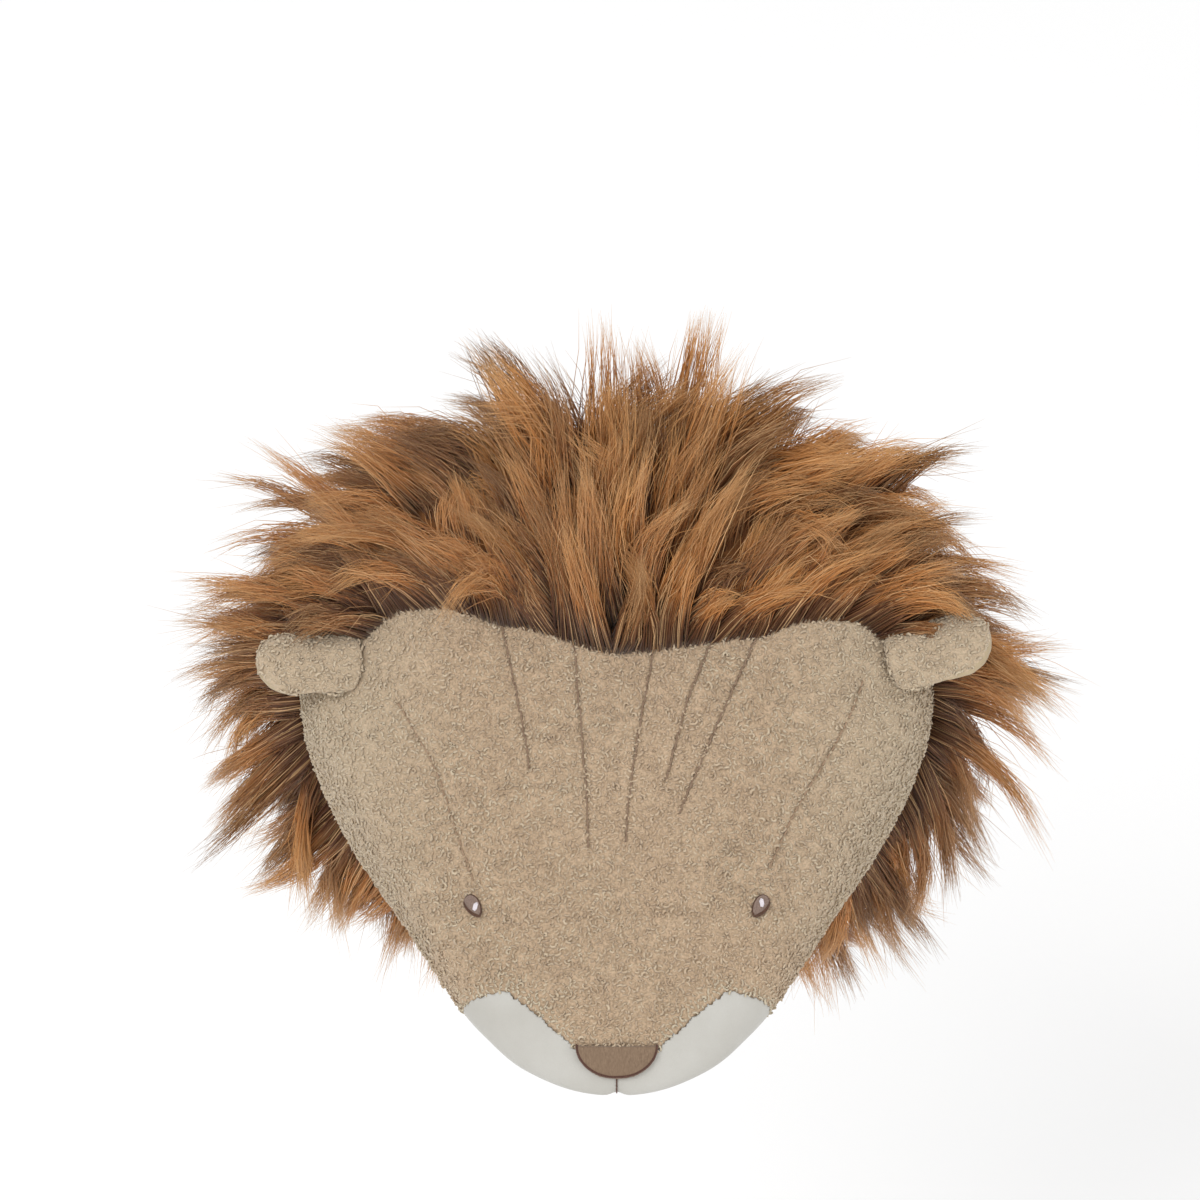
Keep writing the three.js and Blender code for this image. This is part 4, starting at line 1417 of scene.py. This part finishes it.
# The way that a lock leaves the skin, the way that its tip points, and its length
def maneWays(points, normals, share):
    angle = angleOf(points)
    below = -np.sin(angle)
    outwards = np.stack([np.cos(angle), np.zeros(len(angle)), np.sin(angle)], -1)
    wallward = unit(np.array([0, 1.0, 0]) - normals * normals[:, 1:2])
    topness, lowness = np.clip(-below, 0, 1), np.clip(below, 0, 1)
    level = np.abs(np.cos(angle))
    settings = maneSettings["lean"]
    atFront = 1 - smoothStep(share, 0.0, settings["frontTo"])
    lean = settings["all"] + settings["top"] * topness + settings["front"] * (1 - topness) * atFront
    lean = lean * (1 - overEar(points, share))

    def wayFrom(end):
        first, last = maneSettings[end + "Back"]
        way = maneSettings[end + "Off"] * normals + maneSettings[end + "Out"] * outwards
        return unit(way + wallward * ((first + (last - first) * share) * lean)[:, None])

    start, tip = wayFrom("start"), wayFrom("tip")
    # Locks hang the more, the lower and the further to a side they are
    low = np.where(points[:, 0] < 0, *(maneSettings["lowStartDroop"][side] for side in (-1, 1)))
    droop = maneSettings["startDroop"] * level * (1 - 0.5 * topness)
    start[:, 2] -= droop + low * level * smoothStep(below, 0.0, 0.4)
    fallen = smoothStep(below, -0.1, 0.25)
    tip[:, 2] -= maneSettings["tipDroop"] * (0.06 + 0.94 * level) + maneSettings["lowDroop"] * level * fallen
    front = 1 - smoothStep(share, 0.05, maneSettings["partingTo"])
    part = maneSettings["parting"] * np.tanh(points[:, 0] / 0.02) * topness**4 * front
    start[:, 0] += part
    tip[:, 0] += part
    reaches = maneSettings["reach"]
    beside = np.where(points[:, 0] < 0, reaches["left"], reaches["right"])
    hung = smoothStep(below, 0.0, 0.25) * (1 - smoothStep(below, 0.6, 0.9))
    reach = beside + (reaches["crown"] - beside) * topness + (reaches["under"] - beside) * lowness
    reach = reach + reaches["low"] * hung
    tuft = maneSettings["lowTuft"]
    turn = np.degrees(np.arctan2(points[:, 2], tuft["side"] * points[:, 0]))
    reach = reach * (1 + tuft["longer"] * np.exp(-(((turn - tuft["turn"]) / tuft["spread"]) ** 2)))
    return unit(start), unit(tip), reach


scalpParts = scalpGrid(*(maneSettings[key] for key in ("columns", "rows", "rear", "ahead")))


# The back of the crown, where the strands mix between the locks, from 0 to 1
def crownAt(points, share):
    return smoothStep(np.sin(angleOf(points)), 0.5, 0.8) * smoothStep(share, 0.35, 0.7)


# Where the locks keep less apart: at the back of the crown and low at the sides
def fluffAt(points, share):
    return np.maximum(crownAt(points, share), 0.52 * smoothStep(-np.sin(angleOf(points)), 0.0, 0.3))


# The locks: scattered roots no nearer to each other than the lock gap, each with its own lie
def maneLocks():
    rng = np.random.default_rng(maneSettings["lockSeed"])
    points, normals, shares = scalpParts
    rows, columns = points.shape[:2]
    tries = maneSettings["lockTries"]
    row, column = rng.uniform(0, rows - 1.001, tries), rng.uniform(0, columns, tries)
    i, j = row.astype(int), column.astype(int) % columns
    down, across = (row - i)[:, None], (column - column.astype(int))[:, None]
    k = (j + 1) % columns

    def between(values):
        above = values[i, j] * (1 - across) + values[i, k] * across
        below = values[i + 1, j] * (1 - across) + values[i + 1, k] * across
        return above * (1 - down) + below * down

    spots, outs = between(points), unit(between(normals))
    chosen = []
    for spot in range(tries):
        if not chosen or np.linalg.norm(spots[chosen] - spots[spot], axis=1).min() > maneSettings["lockGap"]:
            chosen.append(spot)
    start, tip, reach = maneWays(spots[chosen], outs[chosen], (row / (rows - 1))[chosen])
    start = unit(start + maneSettings["startStray"] * rng.normal(size=start.shape))
    tip = unit(tip + maneSettings["tipStray"] * rng.normal(size=tip.shape))
    mesh = meshFrom("locks", spots[chosen], [])
    addField(mesh, "startWay", start, "FLOAT_VECTOR")
    addField(mesh, "tipWay", tip, "FLOAT_VECTOR")
    addField(mesh, "reach", reach * rng.uniform(*maneSettings["reachSpread"], len(chosen)))
    addField(mesh, "tone", rng.uniform(0, 1, len(chosen)))
    addField(mesh, "fluff", fluffAt(spots[chosen], (row / (rows - 1))[chosen]))
    print("locks:", len(chosen))
    return linked("locks", mesh)


def thickAt(shares):
    first, last = maneSettings["thickAtHairline"], maneSettings["thickBehind"]
    return first + (last - first) * smoothStep(shares, 0.0, maneSettings["thickTo"])


# The first column of each zone, so that every zone grows about as many strands
def zoneEdges():
    points, _, shares = scalpParts
    down = np.linalg.norm(np.diff(points, axis=0), axis=2)
    around = np.linalg.norm(np.roll(points, -1, 1) - points, axis=2)
    areas = (down * around[:-1] * thickAt(shares)[:-1, None]).sum(0)
    sums = np.r_[0, np.cumsum(areas)] / areas.sum()
    zones = maneSettings["zones"]
    return [int(np.argmin(np.abs(sums - i / zones))) for i in range(zones + 1)]


def scalpZone(firstColumn, lastColumn):
    points, _, shares = scalpParts
    columns = [j % maneSettings["columns"] for j in range(firstColumn, lastColumn + 1)]
    rows, count = len(points), len(columns)
    faces = gridFaces(rows, count, closed=False, downFirst=True)
    mesh = meshFrom("scalp", points[:, columns].reshape(-1, 3), faces)
    addField(mesh, "thick", np.broadcast_to(thickAt(shares)[:, None], (rows, count)))
    addField(mesh, "mixing", crownAt(points[:, columns], shares[:, None]))
    return mesh


strandValues = {key: value for key, value in maneSettings.items() if key[0].isupper()}
strandFields = ("along", "lockTone", "strandTone")
locks = maneLocks()
edges = zoneEdges()
for zone in range(maneSettings["zones"]):
    values = dict(strandValues, Locks=locks, Seed=100 + zone, Material=finishes["strands"])
    source = scalpZone(edges[zone], edges[zone + 1])
    fur = grown("mane_fur_" + str(zone + 1), source, strandNodes, values, strandFields)
    hold(fur, "mane_fur")
    print("mane zone", zone + 1, len(fur.data.polygons), "faces")
bpy.data.objects.remove(locks)


# Sewn threads: each place has the way that its stitch runs, the way out of the cloth and a length
def stitched(name, places, ways, outs, longs, finish, radius, rise=0.0003, seed=1, slot="eye_thread"):
    source = meshFrom(name, places, [])
    addField(source, "way", np.broadcast_to(ways, places.shape), "FLOAT_VECTOR")
    addField(source, "out", np.broadcast_to(outs, places.shape), "FLOAT_VECTOR")
    addField(source, "long", np.broadcast_to(longs, len(places)))
    values = {"Thread Radius": radius, "Rise": rise, "Seed": seed, "Material": finishes[finish]}
    hold(grown(name, source, threadNodes, values), slot)


# Even places along a line, and the way that the line runs at each
def spaced(line, gap):
    lengths = lengthsOf(line)
    count = max(2, int(round(lengths[-1] / gap)))
    spots = (np.arange(count) + 0.5) / count * lengths[-1]
    places, ahead, back = (placesAt(line, lengths, spots + shift * gap) for shift in (0, 0.4, -0.4))
    return places, unit(ahead - back)


def skinAt(places, tree, lift):
    found = [tree.find_nearest(Vector(p)) for p in places]
    outs = np.array([tuple(f[1]) for f in found])
    return np.array([tuple(f[0]) for f in found]) + outs * lift, outs


faceTree = treeOf(face.data)
browSettings = {
    "gaps": {"browThread": 0.0023, "faintThread": 0.0038},
    "long": 0.0029,
    "radius": 0.00042,
    "lift": 0.0005,
}
for label, finish in (("brow_stitches", "browThread"), ("brow_faint_stitches", "faintThread")):
    faint = finish == "faintThread"
    lines = [line for name, line in browLines.items() if (name in faintLines) == faint]
    runs = [spaced(line, browSettings["gaps"][finish]) for line in lines]
    places, ways = (np.concatenate([run[i] for run in runs]) for i in range(2))
    seats, outs = skinAt(places, faceTree, browSettings["lift"])
    stitched(label, seats, ways, outs, browSettings["long"], finish, browSettings["radius"])

# The nose's rim, sewn over its lower arc
noseSettings = {
    "width": 0.035,
    "height": 0.0135,
    "tilt": 23,
    "topAt": 0.22485714,  # how far forward the middle of its top edge is
    "points": 160,
    "inside": 0.0007,
    "lift": 0.0002,
    "gap": 0.00042,
    "long": 0.001,
    "radius": 0.00024,
}
castFrom = 0.02  # how far off the surface the rays towards it start
noseTree = treeOf(nosePad.data)
noseTop = headTree.ray_cast(Vector((0, -noseSettings["topAt"], 0.1)), Vector((0, 0, -1)))[0]
noseTilt = math.radians(noseSettings["tilt"])
noseUp = np.array([0, math.sin(noseTilt), math.cos(noseTilt)])
noseOut = np.array([0, -math.cos(noseTilt), math.sin(noseTilt)])


def noseArc():
    turns = np.linspace(0, -math.pi, noseSettings["points"])
    across = (noseSettings["width"] / 2 - noseSettings["inside"]) * np.cos(turns)
    down = (noseSettings["height"] - noseSettings["inside"]) * np.sin(turns)
    flat = np.array(noseTop)[None] + across[:, None] * np.array([1.0, 0, 0]) + down[:, None] * noseUp
    hits = [noseTree.ray_cast(Vector(p + noseOut * castFrom), Vector(-noseOut))[0] for p in flat]
    return np.array([tuple(h) if h is not None else tuple(p) for h, p in zip(hits, flat)])


places, ways = spaced(noseArc(), noseSettings["gap"])
seats, outs = skinAt(places, noseTree, noseSettings["lift"])
across = unit(np.cross(ways, outs))
stitched("nose_rim", seats, across, outs, noseSettings["long"], "noseThread", noseSettings["radius"])

# The muzzle's centre seam, from under the nose round to the chin
seamSettings = {
    "middle": (0, -0.2, -0.07),
    "castFrom": 0.08,
    "turns": (80, -90, -0.8),  # degrees from level: first, last and step
    "overNose": 0.0001,
    "lift": 0.0003,
    "gap": 0.0022,
    "long": 0.0027,
    "radius": 0.00034,
}
muzzleTree = treeOf(muzzle.data)


def seamLine():
    line = []
    for turn in np.radians(np.arange(*seamSettings["turns"])):
        outwards = np.array([0, -math.cos(turn), math.sin(turn)])
        start = Vector(np.array(seamSettings["middle"]) + outwards * seamSettings["castFrom"])
        skinHit, noseHit = (tree.ray_cast(start, Vector(-outwards)) for tree in (muzzleTree, noseTree))
        onSkin, onNose = skinHit[0] is not None, noseHit[0] is not None
        if onNose and (not onSkin or noseHit[3] < skinHit[3] + seamSettings["overNose"]):
            line = []
        elif onSkin:
            line.append(tuple(skinHit[0]))
    return np.array(line)


places, ways = spaced(seamLine(), seamSettings["gap"])
seats, outs = skinAt(places, muzzleTree, seamSettings["lift"])
stitched("muzzle_seam", seats, ways, outs, seamSettings["long"], "noseThread", seamSettings["radius"])

# The eyes: a padded fill of parallel threads, a dark outline and a pale glint
eyeSettings = {
    "width": 0.0067,
    "height": 0.0105,
    "turn": 48,
    "apart": 0.444,
    "forward": 0.769,
    "outline": 0.98,
    "inner": 0.8,
    "fillGap": 0.00046,
    "fillEnds": (-0.45, 0.45),
    "fillBand": 0.0005,
    "fillShortest": 0.0008,
    "fillRadius": 0.00028,
    "rimGap": 0.00042,
    "rimLong": 0.0006,
    "rimHeavy": 0.0016,
    "rimHeavyEnds": (-0.1, 0.8),
    "radius": 0.00024,
    "lifts": {"fill": 0.0001, "outline": 0.00035, "glint": 0.0006},
    "rise": 0.0002,
    "glint": {"left": (0.0011, 0.0002), "right": (0.0008, 0.0014)},
    "glintStep": (0.00036, 0.0001),
    "glintLong": 0.0036,
}


def almond(scale, count=60):
    w, h = eyeSettings["width"] * scale, eyeSettings["height"] * scale
    t = np.linspace(0, 1, count)
    knots = np.array([(0, -h / 2), (0.62 * w, -0.2 * h), (0.62 * w, h / 2), (0, h / 2)])
    weights = np.stack([(1 - t) ** 3, 3 * t * (1 - t) ** 2, 3 * t * t * (1 - t), t**3], -1)
    right = weights @ knots
    left = (right * [-1, 1])[::-1]
    return np.concatenate([right, left[1:-1]])


# An eye's middle, and its ways out of the face, across and up along its own length
def eyeFrame(side):
    across = side * eyeSettings["apart"] * headShape["width"] / 2
    above = Vector((across, -eyeSettings["forward"] * headShape["depth"], 0.1))
    place, normal, _, _ = headTree.ray_cast(above, Vector((0, 0, -1)))
    right = Vector((0, 0, 1)).cross(normal).normalized()
    up = normal.cross(right)
    turn = math.radians(-side * eyeSettings["turn"])
    across = right * math.cos(turn) + up * math.sin(turn)
    upright = up * math.cos(turn) - right * math.sin(turn)
    return np.array(place), np.array(normal), np.array(across), np.array(upright)


def onEye(axes, flat, tree, lift):
    place, normal, across, upright = axes
    rough = place + flat[:, :1] * across + flat[:, 1:] * upright + normal * castFrom
    hits = [tree.ray_cast(Vector(p), Vector(-normal))[0] for p in rough]
    missed = rough - normal * (castFrom - 0.0005)
    return np.array([tuple(p if h is None else h) for h, p in zip(hits, missed)]) + normal * lift


def sewOutline(side, label, axes, tree):
    outline = almond(eyeSettings["outline"])
    closed = np.vstack([outline, outline[:1]])
    lengths = lengthsOf(closed)
    count = int(lengths[-1] / eyeSettings["rimGap"])
    ring = placesAt(closed, lengths, np.arange(count) / count * lengths[-1])
    ahead = np.roll(ring, -1, 0) - np.roll(ring, 1, 0)
    inward = unit(np.stack([-ahead[:, 1], ahead[:, 0]], -1))
    corner = side * ring[:, 0] / eyeSettings["width"] - ring[:, 1] / eyeSettings["height"]
    heavy = smoothStep(corner, *eyeSettings["rimHeavyEnds"])
    longs = eyeSettings["rimLong"] + (eyeSettings["rimHeavy"] - eyeSettings["rimLong"]) * heavy
    middles = ring + inward * (longs[:, None] * 0.35 - 0.0002)
    seats = onEye(axes, middles, tree, eyeSettings["lifts"]["outline"])
    ways = inward[:, :1] * axes[2] + inward[:, 1:] * axes[3]
    stitched("eye_outline_" + label, seats, ways, axes[1], longs, "eyeThread", eyeSettings["radius"])


def sewFill(label, axes, tree):
    inner, height = almond(eyeSettings["inner"]), eyeSettings["height"]
    fill, longs = [], []
    for level in np.arange(*eyeSettings["fillEnds"], eyeSettings["fillGap"] / height) * height:
        band = inner[np.abs(inner[:, 1] - level) < eyeSettings["fillBand"], 0]
        if len(band) > 1 and np.ptp(band) > eyeSettings["fillShortest"]:
            fill.append(((band.min() + band.max()) / 2, level))
            longs.append(np.ptp(band))
    seats = onEye(axes, np.array(fill), tree, eyeSettings["lifts"]["fill"])
    look = ("eyeFill", eyeSettings["fillRadius"], eyeSettings["rise"], 5)
    stitched("eye_fill_" + label, seats, axes[2], axes[1], longs, *look)


# The glint keeps upright, however the eye is turned
def sewGlint(side, label, axes, tree):
    turn = math.radians(-side * eyeSettings["turn"])
    sine, cosine = math.sin(turn), math.cos(turn)
    steps = np.arange(-2, 3)
    glint = np.array(eyeSettings["glint"][label]) + steps[:, None] * np.array(eyeSettings["glintStep"])
    glint = glint @ np.array([[cosine, -sine], [sine, cosine]])
    longs = eyeSettings["glintLong"] * np.sqrt(1 - (steps / 3) ** 2)
    seats = onEye(axes, glint, tree, eyeSettings["lifts"]["glint"])
    look = ("eyeLight", eyeSettings["radius"], eyeSettings["rise"], 9)
    stitched("eye_glint_" + label, seats, axes[2] * sine + axes[3] * cosine, axes[1], longs, *look)


for side, label in ((-1, "left"), (1, "right")):
    axes = eyeFrame(side)
    eyeTree = treeOf(eyes[label].data)
    sewOutline(side, label, axes, eyeTree)
    sewFill(label, axes, eyeTree)
    sewGlint(side, label, axes, eyeTree)
print("threads sewn")

# The felt back panel, with its edge whipped to the head
panelSettings = {
    "radius": 0.1,
    "thickness": 0.008,
    "edge": 0.0022,
    "edgeSteps": 5,
    "columns": 144,
    "innermost": 0.04,  # of the radius
    "flatShort": 1.2,  # edges
    "gap": 0.0045,
    "long": 0.0062,
    "threadOut": 0.0002,
    "threadAt": 0.0048,
    "threadRadius": 0.0005,
    "threadRise": 0.0004,
    "slant": 0.35,
}


def panelMesh():
    radius, thick, edge = (panelSettings[key] for key in ("radius", "thickness", "edge"))
    bends = np.linspace(0, math.pi / 2, panelSettings["edgeSteps"])
    corner = [(radius - edge + edge * math.sin(a), -edge + edge * math.cos(a)) for a in bends]
    inner, outer = radius * panelSettings["innermost"], radius - edge * panelSettings["flatShort"]
    profile = [(r, 0.0) for r in np.linspace(inner, outer, 24)] + corner
    profile += [(r, -thick - y) for r, y in reversed(corner)]
    profile += [(r, -thick) for r in np.linspace(outer, inner, 8)]
    turns = np.linspace(0, 2 * math.pi, panelSettings["columns"], endpoint=False)
    rings = np.array([[(r * math.cos(a), y, r * math.sin(a)) for a in turns] for r, y in profile])
    return closedShell("back_panel_felt", rings, (0, 0, 0), (0, -thick, 0))


panel = linked("back_panel_felt", panelMesh())
paint(panel, "back")
hold(panel, "back_felt", "back_panel", fill=0.5)
turns = np.arange(0, 2 * math.pi, panelSettings["gap"] / panelSettings["radius"])
radial = np.stack([np.cos(turns), np.zeros(len(turns)), np.sin(turns)], -1)
tangent = np.stack([-np.sin(turns), np.zeros(len(turns)), np.cos(turns)], -1)
seats = radial * (panelSettings["radius"] + panelSettings["threadOut"])
seats = seats - np.array([0, panelSettings["threadAt"], 0])
slant = unit(tangent * panelSettings["slant"] + np.array([0, 1.0, 0]))
look = ("rimThread", panelSettings["threadRadius"], panelSettings["threadRise"])
stitched("panel_whipping", seats, slant, radial, panelSettings["long"], *look, slot="back_felt")

# The floor
floorHalf, floorLevel = 6, lightSettings["floorLevel"]
corners = [(x * floorHalf, y * floorHalf, floorLevel) for x, y in ((-1, -1), (1, -1), (1, 1), (-1, 1))]
floor = linked("floor", meshFrom("floor", corners, [(0, 1, 2, 3)]))
floorFinish, floorTree, floorShader = newFinish("paleFloor", 0.9)
floorTones = [(tone, tone, tone, 1) for tone in (0.98, 1.0)]
joinUp(floorTree, floorShader, mixedColour(floorTree, noiseField(floorTree, 3), *floorTones))
floor.data.materials.append(floorFinish)
